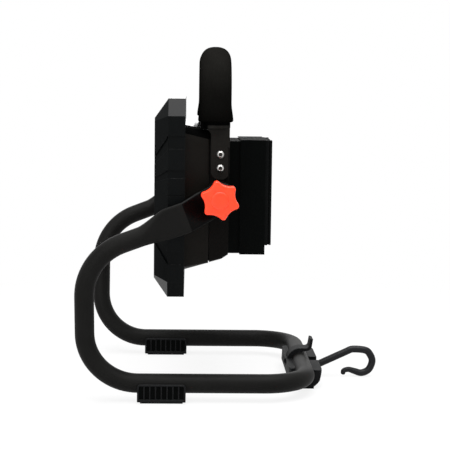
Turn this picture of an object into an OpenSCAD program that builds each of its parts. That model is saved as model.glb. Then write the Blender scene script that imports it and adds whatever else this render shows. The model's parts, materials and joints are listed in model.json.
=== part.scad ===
// Cordless flood work light: a tilting lamp head with a carrying handle, held between the arms of a
// bent tube stand, with a hanging hook on the stand's rear bar.
// Millimetres, +Z up. The beam leaves along -Y. X runs from one knob to the other.
// The origin is the middle of the whole outline on the ground.

/* [Stand] */
// Height of the tilt axis above the ground
pivot_z = 212; // [195:1:260]
// Outside diameter of the bent tube
tube_d = 20; // [16:0.5:24]
// Wall of the tube
tube_wall = 1.5; // [1:0.1:2.5]
// Height of the bottom runs' centre line above the ground
run_z = 19; // [16:0.5:24]
// Outward lean of the two side loops, degrees
loop_lean = 9.2; // [0:0.2:11]
// Distance from the tilt axis forward to the uprights' centre line
upright_y = 135.5; // [125:0.5:165]
// Distance from the tilt axis back to the rear bar's centre line
bar_y = 95; // [88:0.5:115]
// Rise of the arms towards the tilt axis, degrees
arm_rise = 21; // [15:0.5:26]
// How far below the tilt axis the arm's centre line passes
arm_drop = 8.5; // [0:0.5:10]
// Centre line radius of the lower front bends
lower_bend_r = 54; // [40:1:62]
// Centre line radius of the upper front bends
upper_bend_r = 61; // [40:1:70]
// Centre line radius of the rear bends
rear_bend_r = 46; // [30:1:50]
// Gap between the lamp frame's side and the arm's tube at the height of the tilt axis
arm_gap = 14.7; // [11:0.1:24]
// Width of the flattened arm end
flat_w = 31; // [26:0.5:34]
// Thickness of the flattened arm end
flat_t = 4; // [3:0.2:6]

/* [Feet] */
// Length of a foot pad along the tube
pad_len = 50; // [36:1:70]
// Width of a foot pad
pad_w = 26; // [24:0.5:34]
// Distance from the tilt axis forward to the middle of the foot pads
pad_y = 57; // [50:0.5:62]
// Number of grooves on the outer face of a foot pad
pad_grooves = 8; // [4:1:10]

/* [Hook] */
// Diameter of the hook's rod
hook_rod_d = 8; // [6:0.2:9]
// Centre line radius of the hook's bow
hook_r = 13.8; // [12:0.1:18]
// Distance from the rear bar's centre line back to the centre of the hook's bow
hook_reach = 68.4; // [60:0.1:85]
// Clearance under the hook when the light stands on the ground
hook_lift = 0.3; // [0.3:0.1:2]
// Length of the hook's holder along the rear bar
holder_len = 120; // [80:1:130]
// Outside radius of the holder's shell
holder_r = 20; // [18.5:0.25:22]
// Width of the clip strap
clip_w = 20; // [14:0.5:30]
// Thickness of the clip strap
clip_t = 3.2; // [2.4:0.1:4]
// Diameter of the hook's pin and the clip's pin
small_pin_d = 3; // [2:0.1:3.4]

/* [Lamp head] */
// Width of the protective frame
frame_w = 250; // [230:1:300]
// Height of the protective frame
frame_h = 203; // [190:1:230]
// How far the middle of the frame and the housings lies below the tilt axis
head_drop = 3.5; // [0:0.5:5]
// Distance from the tilt axis forward to the frame's front face
front_dist = 66; // [62:0.5:72]
// Depth of the frame's front bevel
bevel_depth = 14; // [9:0.5:14]
// Depth of the frame's straight ring
ring_depth = 17; // [16:0.5:20]
// Width of the light window
window_w = 184; // [150:1:190]
// Height of the light window
window_h = 116; // [90:1:120]
// Depth of the lip in front of the lens
lip_t = 7; // [6:0.5:8]
// Thickness of the lens
lens_t = 4; // [3:0.5:5]
// Thickness of the lens gasket
gasket_t = 2; // [1.5:0.25:2.5]
// Depth of the middle housing behind the frame
mid_depth = 24.6; // [20:0.1:26]
// Wall of the two housings
shell_wall = 4; // [3:0.25:4.5]
// Distance from the tilt axis back to the rear housing's back face
rear_dist = 10; // [9:0.5:13]

/* [Tilt joint] */
// Diameter of the knob's stud
stud_d = 8; // [6:0.5:10]
// Radius of the pivot boss on the rear housing
boss_r = 16; // [13:0.5:17]
// Thickness of the friction washer
washer_t = 1.5; // [1:0.25:3]
// Distance across the knob's tips
knob_d = 39; // [32:0.5:48]
// Thickness of the knob's star
knob_t = 15; // [10:0.5:20]
// Number of tips on the knob
knob_tips = 6; // [5:1:8]
// Travel of the knob along its stud when it is loosened
knob_travel = 2.5; // [1:0.25:4]

/* [Handle] */
// Outside diameter of the handle's grip
grip_d = 32; // [28:0.5:38]
// Height of the grip's centre line above the tilt axis
grip_rise = 136; // [125:1:165]
// Bend radius of the grip's centre line
grip_bend_r = 32; // [24:1:45]
// Diameter of the tube inside the grip
core_d = 14; // [12:0.5:18]
// Width of the handle's side strap
strap_w = 18.8; // [16:0.2:19]
// Thickness of the handle's side strap
strap_t = 5; // [4:0.25:7]

/* [Battery dock] */
// Width of the dock
dock_w = 90; // [84:1:110]
// Height of the dock above the tilt axis
dock_top = 54.6; // [50:0.2:56]
// Depth of the dock below the tilt axis
dock_drop = 68.5; // [60:0.5:70]
// Depth of the dock from the rear housing to the rail plate
dock_depth = 41.1; // [36:0.1:60]
// Thickness of the rail plate with its rails
rail_t = 7; // [6:0.25:9]
// Diameter of the power button
button_d = 16; // [12:0.5:20]
// Travel of the power button
button_travel = 1.5; // [1:0.1:2]

/* [Hidden] */
$fn = 64;
hull_fn = 32;            // facets of the rounded corners inside a hull
run_gap = 0.05;          // radial gap of a shaft in its hole
slip_gap = 0.2;          // gap of a piece in its pocket
thin = 0.1;              // thickness of a slice that spans a hull
bend_grow = 0.05;        // how much a round bar's radius grows in its bends
bend_join = 0.5;         // how far a straight stretch runs into a bend

tube_r = tube_d / 2;
arm_x = frame_w / 2 + arm_gap + tube_r;
base_x = arm_x - tan(loop_lean) * (pivot_z - run_z);
arm_top = (pivot_z - arm_drop - run_z) / cos(loop_lean);
corner_s = arm_top - upright_y * tan(arm_rise);
upper_turn = 90 - arm_rise;
upper_run = upper_bend_r * tan(upper_turn / 2);
flat_from = 78;          // distance before the tilt axis where the tube starts to flatten
flat_to = 50;            // distance before the tilt axis where it is flat
flat_lift = 1;           // how far the flat end sits above the tube's centre line
crease = 34;             // distance before the tilt axis where the flat end bends inwards
bend_to = 21;            // distance before the tilt axis where the inward bend ends

frame_back = -front_dist + bevel_depth + ring_depth;
bevel_back = -front_dist + bevel_depth;
lens_front = -front_dist + lip_t;
lens_back = lens_front + lens_t;
flange_y = lens_back + gasket_t;
seam_y = frame_back + mid_depth;
seam_t = 1;
rear_front = seam_y + seam_t;
lens_rim = 6;            // how far the lens reaches behind the lip all round
frame_wall_x = 12;       // frame wall beside the housing's front
frame_wall_z = 23.5;     // frame wall above and below the housing's front
front_in = 13;           // inset of the front face from the frame's side
front_in_z = 19.75;      // inset of the front face from the frame's top and bottom
frame_rise = 1;          // how far the frame's middle sits above the window's
seam_h = frame_h / 2 - 35.2;      // half the middle housing's height at the seam
rear_h = seam_h - 0.8;   // half the rear housing's height at the seam
side_x = frame_w / 2 - 16.5;      // seat of the handle's strap on the rear housing
side_step = 0.5;         // how far the housing's side stands outside that seat
boss_x = arm_x - tube_r - washer_t - 7.7;
plate_x = boss_x + washer_t;
plate_out = plate_x + flat_t;
pressure_t = 1.5;        // thickness of the pressure washer under the knob
hub_len = 10;            // length of the knob's hub
hub_r = 10;              // radius of the knob's hub
stud_r = stud_d / 2;
grip_y = -4.2;           // centre line of the grip, from the tilt axis
strap_y = 0.8;           // centre line of the side strap, from the tilt axis
strap_foot = 17.5;       // height of the strap's lower end above the tilt axis
collar_z = 75.5;         // height of the grip's lower ends above the tilt axis
collar_grow = 1.8;       // how much wider the grip's lower ends are, radial
leg_x = side_x - 3.5;
screw_rows = [28.9, 42.9];        // heights of the handle's screws above the tilt axis

eye_r = hook_rod_d / 2 + 0.4;     // radius of the hook's eye
hub_z = tube_r + eye_r + 0.8;     // distance of the hook's pin from the bar's centre line
hook_pin_a = -38;        // direction of the hook's pin from the bar's centre line, degrees
hook_pin = [bar_y + hub_z * cos(hook_pin_a), run_z + hub_z * sin(hook_pin_a)];
hook_c = [bar_y + hook_reach, hook_r + hook_rod_d / 2 + hook_lift];
crown_extra = 6;         // how much wider the bow's crown curves than the rest of it
crown_a = 65;            // direction where the crown meets the rest of the bow, degrees
crown_r = hook_r + crown_extra;
crown_c = hook_c - crown_extra * [cos(crown_a), sin(crown_a)];
hook_d = crown_c - hook_pin;
hook_dist = norm(hook_d);
shank_a = atan2(hook_d[1], hook_d[0]) + asin(crown_r / hook_dist);
shank_len = sqrt(hook_dist * hook_dist - crown_r * crown_r);
eye_half = 8;            // half the width of the hook's eye
clip_pin = [bar_y - tube_r - 4, run_z + 0.4];

front_end = -upright_y - tube_r;
rear_end = hook_c[0] + hook_r + hook_rod_d / 2;
pivot_y = -(front_end + rear_end) / 2;

dock_back = rear_dist + dock_depth;
button_y = rear_dist + 0.6 * dock_depth;
fin_pitch = 10;
fin_t = 2;
post_x = 96;             // housing screws, from the middle
post_z = 50;
sink_x = 98;             // heat sink screws, from the middle
sink_z = 62;
frame_screw_x = window_w / 2 + 10;
frame_screw_z = 38;
board_x = 40;            // driver board screws, from the middle
board_z = 22;
board_y = rear_dist - 14.4;
board_t = 1.6;
lead_z = -9;             // battery leads, from the head's middle
lead_hole_r = 5;

// ---- Places ----

module on_ground() translate([0, pivot_y, 0]) children();

module on_axis() translate([0, pivot_y, pivot_z]) children();

module on_head() translate([0, pivot_y, pivot_z - head_drop]) children();

module both_sides() {
    children();
    mirror([1, 0, 0]) children();
}

module four_corners(x, z) {
    for (sx = [-1, 1], sz = [-1, 1]) translate([sx * x, 0, sz * z]) children();
}

// Turns an outline drawn as (Y, Z) into a body along X, from x0 to x1
module along_x(x0, x1) {
    translate([x0, 0, 0]) rotate([90, 0, 90]) linear_extrude(x1 - x0) children();
}

// Turns an outline drawn as (X, Z) into a body along Y, from y0 to y1
module along_y(y0, y1) {
    translate([0, y1, 0]) rotate([90, 0, 0]) linear_extrude(y1 - y0) children();
}

module rod_x(x0, x1, r) {
    translate([x0, 0, 0]) rotate([0, 90, 0]) cylinder(h = x1 - x0, r = r);
}

module rod_y(y0, y1, r) {
    translate([0, y0, 0]) rotate([-90, 0, 0]) cylinder(h = y1 - y0, r = r);
}

module rounded_rect(half_w, half_h, r) {
    for (sx = [-1, 1], sz = [-1, 1]) translate([sx * (half_w - r), sz * (half_h - r)]) circle(r);
    square([2 * half_w, 2 * (half_h - r)], center = true);
    square([2 * (half_w - r), 2 * half_h], center = true);
}

// A rounded shell that tapers from one slice to the other; a slice is [y, half width, half height]
module tapered_block(a, b, r) {
    hull() {
        for (s = [a, b]) along_y(s[0] - thin / 2, s[0] + thin / 2) rounded_rect(s[1], s[2], r, $fn = hull_fn);
    }
}

// ---- Stand ----

module ring_2d(r, wall) {
    difference() {
        circle(r);
        circle(r - wall);
    }
}

// A straight stretch along +X of the drawing plane, which runs a little way into the bends beside it
module round_run(len, r) {
    translate([-bend_join, 0, 0]) rotate([0, 90, 0]) cylinder(h = len + 2 * bend_join, r = r);
}

// A bend in the drawing plane about its own centre, from angle a0 through sweep
module round_bend(bend_r, a0, sweep, r) {
    rotate([0, 0, a0]) rotate_extrude(angle = sweep) translate([bend_r, 0]) circle(r + bend_grow);
}

// A bar as thick as the flattened end and as long as it is wide, less twice the inset
module flat_bar(tilt, inset = 0) {
    rotate([0, 0, tilt]) rotate([90, 0, 0])
        cylinder(h = flat_w - 2 * inset, d = flat_t - 2 * inset, center = true, $fn = hull_fn);
}

function arm_point(y) = [y, arm_top + y * tan(arm_rise)];

// One side loop, in its own plane: first coordinate along Y, second up the leaning loop
module side_loop(r) {
    low_c = [-upright_y + lower_bend_r, lower_bend_r];
    top_c = [-upright_y + upper_bend_r, corner_s - upper_run];
    arm_start = top_c + upper_bend_r * [cos(90 + arm_rise), sin(90 + arm_rise)];
    translate([low_c[0], 0]) round_run(bar_y - rear_bend_r - low_c[0], r);
    translate(low_c) round_bend(lower_bend_r, 180, 90, r);
    translate([-upright_y, low_c[1]]) rotate([0, 0, 90]) round_run(top_c[1] - low_c[1], r);
    translate(top_c) round_bend(upper_bend_r, 90 + arm_rise, upper_turn, r);
    translate(arm_start) rotate([0, 0, arm_rise]) round_run((-flat_from - arm_start[0]) / cos(arm_rise), r);
}

// The whole bent bar at one radius, from arm to arm
module bent_bar(r) {
    both_sides() in_loop_plane() side_loop(r);
    translate([0, 0, run_z]) {
        both_sides() translate([base_x - rear_bend_r, bar_y - rear_bend_r, 0])
            round_bend(rear_bend_r, 0, 90, r);
        translate([-(base_x - rear_bend_r), bar_y, 0]) round_run(2 * (base_x - rear_bend_r), r);
    }
}

module in_loop_plane() translate([base_x, 0, run_z]) rotate([0, loop_lean, 0]) rotate([90, 0, 90]) children();

// The end of an arm: pressed flat, bent inwards and drilled for the stud
module arm_end() {
    a = arm_point(-flat_from);
    b = arm_point(-flat_to) + [0, flat_lift];
    c = arm_point(-crease) + [0, flat_lift];
    plate_mid = (plate_x + plate_out) / 2;
    drop = arm_drop + bend_to * tan(arm_rise) * cos(loop_lean);
    plate_a = atan2(drop, bend_to);
    plate_run = norm([bend_to, drop]);
    // point inside the plate where the bent part ends
    inner = (1 - 1 / plate_run) * [bend_to, drop];
    // the collar's flats stay clear of the round tube that ends inside it
    collar_r = (tube_r + 0.1) / cos(180 / hull_fn);
    hull() {
        in_loop_plane() translate(a) rotate([0, 0, arm_rise]) rotate([90, 0, 90]) translate([0, 0, -1])
            cylinder(h = 1 + 2 * bend_join, r = collar_r, $fn = hull_fn);
        in_loop_plane() translate(b) flat_bar(arm_rise);
    }
    hull() {
        in_loop_plane() translate(b) flat_bar(arm_rise);
        in_loop_plane() translate(c) flat_bar(arm_rise);
    }
    hull() {
        in_loop_plane() translate(c) flat_bar(arm_rise);
        translate([plate_mid, -inner[0], pivot_z - inner[1]]) rotate([90, 0, 90]) flat_bar(plate_a, 0.05);
    }
    translate([0, 0, pivot_z]) along_x(plate_x, plate_out) rotate(plate_a) {
        circle(flat_w / 2);
        translate([-plate_run, -flat_w / 2]) square([plate_run, flat_w]);
    }
}

module pad_screw_places() {
    for (s = [-1, 1]) translate([base_x, -pad_y + s * pad_len * 0.28, 0]) children();
}

module stand_tube() {
    color("#232323") on_ground() difference() {
        union() {
            difference() {
                bent_bar(tube_r);
                bent_bar(tube_r - tube_wall);
            }
            both_sides() arm_end();
        }
        both_sides() {
            translate([0, 0, pivot_z]) rod_x(plate_x - 1, plate_out + 1, stud_r + run_gap);
            pad_screw_places() cylinder(h = run_z, r = 2 + run_gap);
        }
    }
}

// ---- Feet ----

module foot_pad() {
    top = run_z + 1.4;
    end_r = 4;
    tread = 2.5;
    rib = pad_len / (pad_grooves + 1);
    difference() {
        translate([base_x, -pad_y, 0]) {
            along_x(-pad_w / 2, pad_w / 2) {
                translate([-pad_len / 2, tread]) square([pad_len, top - end_r - tread]);
                translate([-pad_len / 2 + end_r, tread]) square([pad_len - 2 * end_r, top - tread]);
                for (s = [-1, 1]) translate([s * (pad_len / 2 - end_r), top - end_r]) circle(end_r);
                translate([-pad_len / 2 + tread, 0]) square([pad_len - 2 * tread, tread]);
            }
        }
        translate([base_x, -pad_y - pad_len, run_z]) {
            rod_y(0, 2 * pad_len, tube_r + run_gap);
            // more room at the front end, where the tube starts to bend up
            rod_y(0, pad_len / 2 + 1, tube_r + 0.3);
        }
        translate([base_x - tube_r + 1.2, -pad_y - pad_len, run_z])
            cube([2 * tube_r - 2.4, 2 * pad_len, tube_r]);
        for (i = [1 : pad_grooves])
            translate([base_x + pad_w / 2 - 0.8, -pad_y - pad_len / 2 + i * rib - 0.9, tread])
                cube([2, 1.8, top - tread - 4]);
        pad_screw_places() {
            cylinder(h = run_z, r = 2 + run_gap);
            translate([0, 0, -1]) cylinder(h = 5, r = 4);
        }
    }
}

module foot_pad_right() color("#2b2b2b") on_ground() foot_pad();

module foot_pad_left() color("#2b2b2b") on_ground() mirror([1, 0, 0]) foot_pad();

module pad_screws() {
    color("silver") on_ground() both_sides() pad_screw_places() difference() {
        union() {
            translate([0, 0, 1.5]) cylinder(h = 2.5, r = 3.5);
            translate([0, 0, 4]) cylinder(h = run_z - tube_r + tube_wall, r = 2);
        }
        translate([0, 0, 1]) cylinder(h = 2, r = 1.6, $fn = 6);
    }
}

// ---- Hook and its holder ----

module holder_outline() {
    ledge = 6;
    difference() {
        union() {
            intersection() {
                circle(holder_r);
                translate([-tube_r - ledge, -run_z]) square([holder_r + tube_r + ledge, run_z + 1.5]);
            }
            translate([-tube_r - ledge, -4]) square([ledge + 2, 7.5]);
            translate([-8, -run_z]) square([holder_r - 1, 6]);
        }
        circle(tube_r + run_gap);
        translate([-tube_r - 30, 3.5]) square([30 + tube_r, 30]);
    }
}

module hook_holder() {
    hook_half = eye_half + 0.5;
    clip_half = clip_w / 2 + 0.5;
    color("#3c3c3c") on_ground() difference() {
        translate([0, bar_y, run_z]) along_x(-holder_len / 2, holder_len / 2) holder_outline();
        // slot for the hook's eye and shank
        translate([-hook_half, bar_y + 4, -1]) cube([2 * hook_half, 40, 60]);
        // gap for the clip strap's barrel and the strap's rear end
        translate([-clip_half, bar_y - 40, run_z - 6]) cube([2 * clip_half, 31, 30]);
        // grooves that leave an end band on each side
        both_sides() for (x = [0.35, 0.42]) translate([holder_len * x, bar_y, run_z]) rotate([0, 90, 0])
            difference() {
                cylinder(h = 1.6, r = holder_r + 2);
                translate([0, 0, -1]) cylinder(h = 4, r = holder_r - 1.2);
                translate([0, -60, -1]) cube([60, 42, 4]);
            }
        translate([0, hook_pin[0], hook_pin[1]]) rod_x(-16, 16, small_pin_d / 2 + run_gap);
        translate([0, clip_pin[0], clip_pin[1]]) rod_x(-18, 18, small_pin_d / 2 + run_gap);
    }
}

// A bend of the hook about its own centre; c is [y, z]
module hook_bend(c, bend_r, a0, sweep, r = hook_rod_d / 2) {
    translate([0, c[0], c[1]]) rotate([90, 0, 90]) round_bend(bend_r, a0, sweep, r);
}

// A straight stretch of the hook from one point to another; a point is [y, z]
module hook_rod(a, b) {
    translate([0, a[0], a[1]]) rotate([90, 0, 90]) rotate([0, 0, atan2(b[1] - a[1], b[0] - a[0])])
        round_run(norm(b - a), hook_rod_d / 2);
}

module hook() {
    bow_end = -110;
    tip_r = 6;
    tip_sweep = 80;
    tip_run = 6;
    heading = [sin(bow_end), -cos(bow_end)];
    a = hook_pin + shank_len * [cos(shank_a), sin(shank_a)];
    b = hook_c + hook_r * [cos(bow_end), sin(bow_end)];
    c = b + tip_run * heading;
    tip_c = c + tip_r * [-heading[1], heading[0]];
    tip_a = 180 + bow_end;
    end = tip_c + tip_r * [cos(tip_a + tip_sweep), sin(tip_a + tip_sweep)];
    color("#2a2a2c") on_ground() difference() {
        union() {
            translate([0, hook_pin[0], hook_pin[1]]) rod_x(-eye_half, eye_half, eye_r);
            hook_rod(hook_pin, a);
            hook_bend(crown_c, crown_r, crown_a, 90 + shank_a - crown_a, hook_rod_d / 2 + bend_grow);
            hook_bend(hook_c, hook_r, bow_end, crown_a + 2 - bow_end);
            hook_rod(b, c);
            hook_bend(tip_c, tip_r, tip_a, tip_sweep);
            translate([0, end[0], end[1]]) rotate([tip_a + tip_sweep, 0, 0]) {
                translate([0, 0, -bend_join]) cylinder(h = bend_join + 1.5, r = hook_rod_d / 2);
                translate([0, 0, 1.5]) cylinder(h = 1.3, r1 = hook_rod_d / 2, r2 = hook_rod_d / 2 - 1.3);
            }
        }
        translate([0, hook_pin[0], hook_pin[1]]) rod_x(-10, 10, small_pin_d / 2 + run_gap);
    }
}

module hook_pin() {
    color("silver") on_ground() translate([0, hook_pin[0], hook_pin[1]]) rod_x(-15, 15, small_pin_d / 2);
}

module clip_strap() {
    in_r = tube_r + 0.4;
    mid_r = in_r + clip_t / 2;
    barrel_r = small_pin_d / 2 + 1.6;
    curl_r = 5;
    curl_a = 80;
    run = 5.5;
    tab = 8;
    reach = 4 * curl_r;
    pin = clip_pin - [bar_y, run_z];
    curl_c = [run, mid_r + curl_r];
    color("#3c3c3c") on_ground() translate([0, bar_y, run_z]) difference() {
        along_x(-clip_w / 2, clip_w / 2) {
            difference() {
                union() {
                    intersection() {
                        circle(in_r + clip_t);
                        translate([-40, pin[1]]) square([40, 40]);
                    }
                    translate([0, in_r]) square([run, clip_t]);
                    translate(pin) circle(barrel_r);
                }
                circle(in_r);
            }
            intersection() {
                translate(curl_c) ring_2d(curl_r + clip_t / 2, clip_t);
                translate(curl_c) polygon([[0, 0], [0, -reach], [reach * sin(curl_a), -reach],
                    [reach * sin(curl_a), -reach * cos(curl_a)]]);
            }
            // the straight tab starts inside the curl and is a little thinner
            translate(curl_c) rotate(curl_a) translate([-bend_join, -curl_r - clip_t / 2 + bend_grow])
                square([tab + bend_join, clip_t - 2 * bend_grow]);
        }
        translate([0, pin[0], pin[1]]) rod_x(-clip_w, clip_w, small_pin_d / 2 + run_gap);
    }
}

module clip_pin_rod() {
    color("silver") on_ground() translate([0, clip_pin[0], clip_pin[1]]) rod_x(-17, 17, small_pin_d / 2);
}

// ---- Lamp head: frame, lens and light engine ----

// Outline of the frame with cut corners; cut_x and cut_z are the corner cuts
function cut_rect(half_w, half_h, cut_x, cut_z) = [
    [half_w, -half_h + cut_z], [half_w, half_h - cut_z], [half_w - cut_x, half_h], [-half_w + cut_x, half_h],
    [-half_w, half_h - cut_z], [-half_w, -half_h + cut_z],
    [-half_w + cut_x, -half_h], [half_w - cut_x, -half_h]];

module front_frame() {
    half_w = frame_w / 2;
    half_h = frame_h / 2;
    step = 1.5;          // depth of the side steps and grooves
    corner = [14, 17.5]; // how much the corners are cut, along X and along Z
    color("#26282a") on_head() difference() {
        translate([0, 0, frame_rise]) {
            along_y(bevel_back, frame_back) polygon(cut_rect(half_w, half_h, corner[0], corner[1]));
            hull() {
                along_y(bevel_back - thin, bevel_back)
                    polygon(cut_rect(half_w, half_h, corner[0], corner[1]));
                along_y(-front_dist, -front_dist + thin)
                    polygon(cut_rect(half_w - front_in, half_h - front_in_z, 3, 3.2));
            }
        }
        // light window, lens seat and the seat for the housing's front
        along_y(-front_dist - 1, lens_front + 1) rounded_rect(window_w / 2, window_h / 2, 10);
        along_y(lens_front, flange_y + 1) rounded_rect(window_w / 2 + lens_rim, window_h / 2 + lens_rim, 12);
        along_y(flange_y, frame_back + 1) rounded_rect(half_w - frame_wall_x, half_h - frame_wall_z, 10);
        // steps and grooves on the sides
        both_sides() for (s = [-1, 1]) {
            for (band = [[22.5, 30.8], [52, 65.5], [4.2, 5.4]])
                translate([half_w - step, -front_dist - 1, s > 0 ? band[0] : -band[1]])
                    cube([step + 1, front_dist + 1, band[1] - band[0]]);
        }
        // grooves across the top and the bottom
        both_sides() for (s = [-1, 1], band = [[26, 34], [66, 78]])
            translate([band[0], -front_dist - 1, s * half_h + frame_rise - step])
                cube([band[1] - band[0], front_dist + 1, 2 * step]);
        four_corners(frame_screw_x, frame_screw_z) {
            rod_y(-front_dist - 1, 0, 2 + run_gap);
            rod_y(-front_dist - 1, -front_dist + 3.2, 4.2);
        }
    }
}

// A cap screw along +Y with a hex socket; its head's outer face is at y = 0
module cap_screw(head_r, head_t, shank_r, len) {
    difference() {
        union() {
            rod_y(0, head_t, head_r);
            rod_y(head_t, len, shank_r);
        }
        translate([0, -1, 0]) rotate([-90, 0, 0]) cylinder(h = 1 + head_t * 0.6, r = head_r * 0.5, $fn = 6);
    }
}

module frame_screws() {
    color("silver") on_head() four_corners(frame_screw_x, frame_screw_z)
        translate([0, -front_dist + 0.4, 0]) cap_screw(4, 2.8, 2, flange_y + front_dist + 8);
}

module lens() {
    color([0.8, 0.9, 1, 0.35]) on_head() along_y(lens_front, lens_back)
        rounded_rect(window_w / 2 + lens_rim - slip_gap, window_h / 2 + lens_rim - slip_gap, 12);
}

module lens_gasket() {
    color("#111111") on_head() along_y(lens_back, flange_y) difference() {
        rounded_rect(window_w / 2 + lens_rim - slip_gap, window_h / 2 + lens_rim - slip_gap, 12);
        rounded_rect(window_w / 2 + 1, window_h / 2 + 1, 10);
    }
}

tray_y = flange_y + 3;
led_y = tray_y + 7.4;
sink_y = led_y + 1.6;
sink_base = 4;

module reflector() {
    half_w = window_w / 2;
    half_h = window_h / 2;
    color("#e8e8e8") on_head() difference() {
        along_y(tray_y, led_y) rounded_rect(half_w, half_h, 8);
        tapered_block([tray_y - thin, half_w - 1.5, half_h - 1.5], [led_y + thin, half_w - 9, half_h - 9], 6);
    }
}

module led_board() {
    color("#f2f2ee") on_head() along_y(led_y, sink_y) rounded_rect(window_w / 2 - 2, window_h / 2 - 2, 4);
}

module led_chips() {
    rows = 5;
    columns = 9;
    pitch = 17;
    size = 5;
    color("#f4dc6a") on_head() for (i = [0 : columns - 1], j = [0 : rows - 1])
        translate([(i - (columns - 1) / 2) * pitch, led_y - 1, (j - (rows - 1) / 2) * pitch])
            translate([-size / 2, 0, -size / 2]) cube([size, 1, size]);
}

module heat_sink() {
    fin_end = rear_front - 5;
    fins = 2 * floor((post_x - 6) / fin_pitch);
    color("#c9ccd0") on_head() difference() {
        union() {
            along_y(sink_y, sink_y + sink_base) rounded_rect(sink_x + 6, sink_z + 5, 6);
            for (i = [0 : fins - 1])
                translate([(i - (fins - 1) / 2) * fin_pitch - fin_t / 2, sink_y, -(post_z - 2)])
                    cube([fin_t, fin_end - sink_y, 2 * (post_z - 2)]);
        }
        rod_y(sink_y - 1, sink_y + sink_base + 1, 3.2);
        four_corners(sink_x, sink_z) rod_y(sink_y - 1, sink_y + sink_base + 1, 1.5 + run_gap);
    }
}

module heat_sink_screws() {
    color("silver") on_head() four_corners(sink_x, sink_z) translate([0, sink_y + sink_base + 2, 0])
        mirror([0, 1, 0]) cap_screw(2.8, 2, 1.5, 12);
}

module lead_wires() {
    color("#b03030") on_head() for (s = [-1, 1]) translate([s * 1.5, 0, 0]) rod_y(sink_y, board_y, 1);
}

// ---- Lamp head: housings ----

module mid_outline(shrink) {
    tapered_block([frame_back + thin / 2, side_x + 7.5 - shrink, frame_h / 2 - 28.5 - shrink],
        [seam_y - thin / 2, side_x + side_step - shrink, seam_h - shrink], 14 - shrink);
}

module mid_housing() {
    front_w = frame_w / 2 - frame_wall_x - slip_gap;
    front_h = frame_h / 2 - frame_wall_z - slip_gap;
    wall = shell_wall;
    color("#26221e") on_head() difference() {
        union() {
            difference() {
                union() {
                    along_y(flange_y, frame_back) rounded_rect(front_w, front_h, 10);
                    mid_outline(0);
                }
                along_y(tray_y, frame_back + thin) rounded_rect(front_w - wall, front_h - wall - 6, 6);
                mid_outline(wall);
                translate([0, seam_y - 1, 0]) along_y(0, 3)
                    rounded_rect(side_x + side_step - wall, seam_h - wall, 14 - wall);
            }
            // posts for the frame's, the heat sink's and the housing's screws
            four_corners(frame_screw_x, frame_screw_z) rod_y(tray_y - 1, sink_y - 0.5, 4);
            four_corners(sink_x, sink_z) rod_y(tray_y - 1, sink_y, 4);
            four_corners(post_x, post_z) rod_y(seam_y - 16, seam_y, 5);
            both_sides() for (s = [-1, 1]) translate([post_x, seam_y - 16, s * post_z - 2.5])
                cube([side_x - wall / 2 - post_x, 16, 5]);
        }
        along_y(flange_y - 1, tray_y + 1) rounded_rect(window_w / 2, window_h / 2, 10);
        translate([0, 0, head_drop]) both_sides() rod_x(side_x + side_step, boss_x, boss_r + slip_gap);
        four_corners(frame_screw_x, frame_screw_z) rod_y(flange_y - 1, sink_y - 1.5, 2 + run_gap);
        four_corners(sink_x, sink_z) rod_y(sink_y - 8, sink_y + 1, 1.5 + run_gap);
        four_corners(post_x, post_z) rod_y(seam_y - 13, seam_y + 1, 1.8 + run_gap);
    }
}

module seam_gasket() {
    color("#0c0c0c") on_head() along_y(seam_y, rear_front) difference() {
        rounded_rect(side_x - 0.5, rear_h - 0.5, 13);
        rounded_rect(side_x - shell_wall + 0.5, seam_h - shell_wall, 9);
    }
}

// Three slices give the rear housing a slight taper and a steeper one at the back; a slice is
// [y, inset of the side, inset of the top and bottom]
module rear_outline(shrink) {
    half_w = side_x + side_step - shrink;
    half_h = rear_h - shrink;
    slices = [[rear_front, 0, 0], [rear_dist - 7, 0, 3.5], [rear_dist - shrink - thin, 6.5, 8]];
    hull() for (s = slices) along_y(s[0], s[0] + thin)
        rounded_rect(half_w - s[1], half_h - s[2], 14 - shrink, $fn = hull_fn);
}

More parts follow.
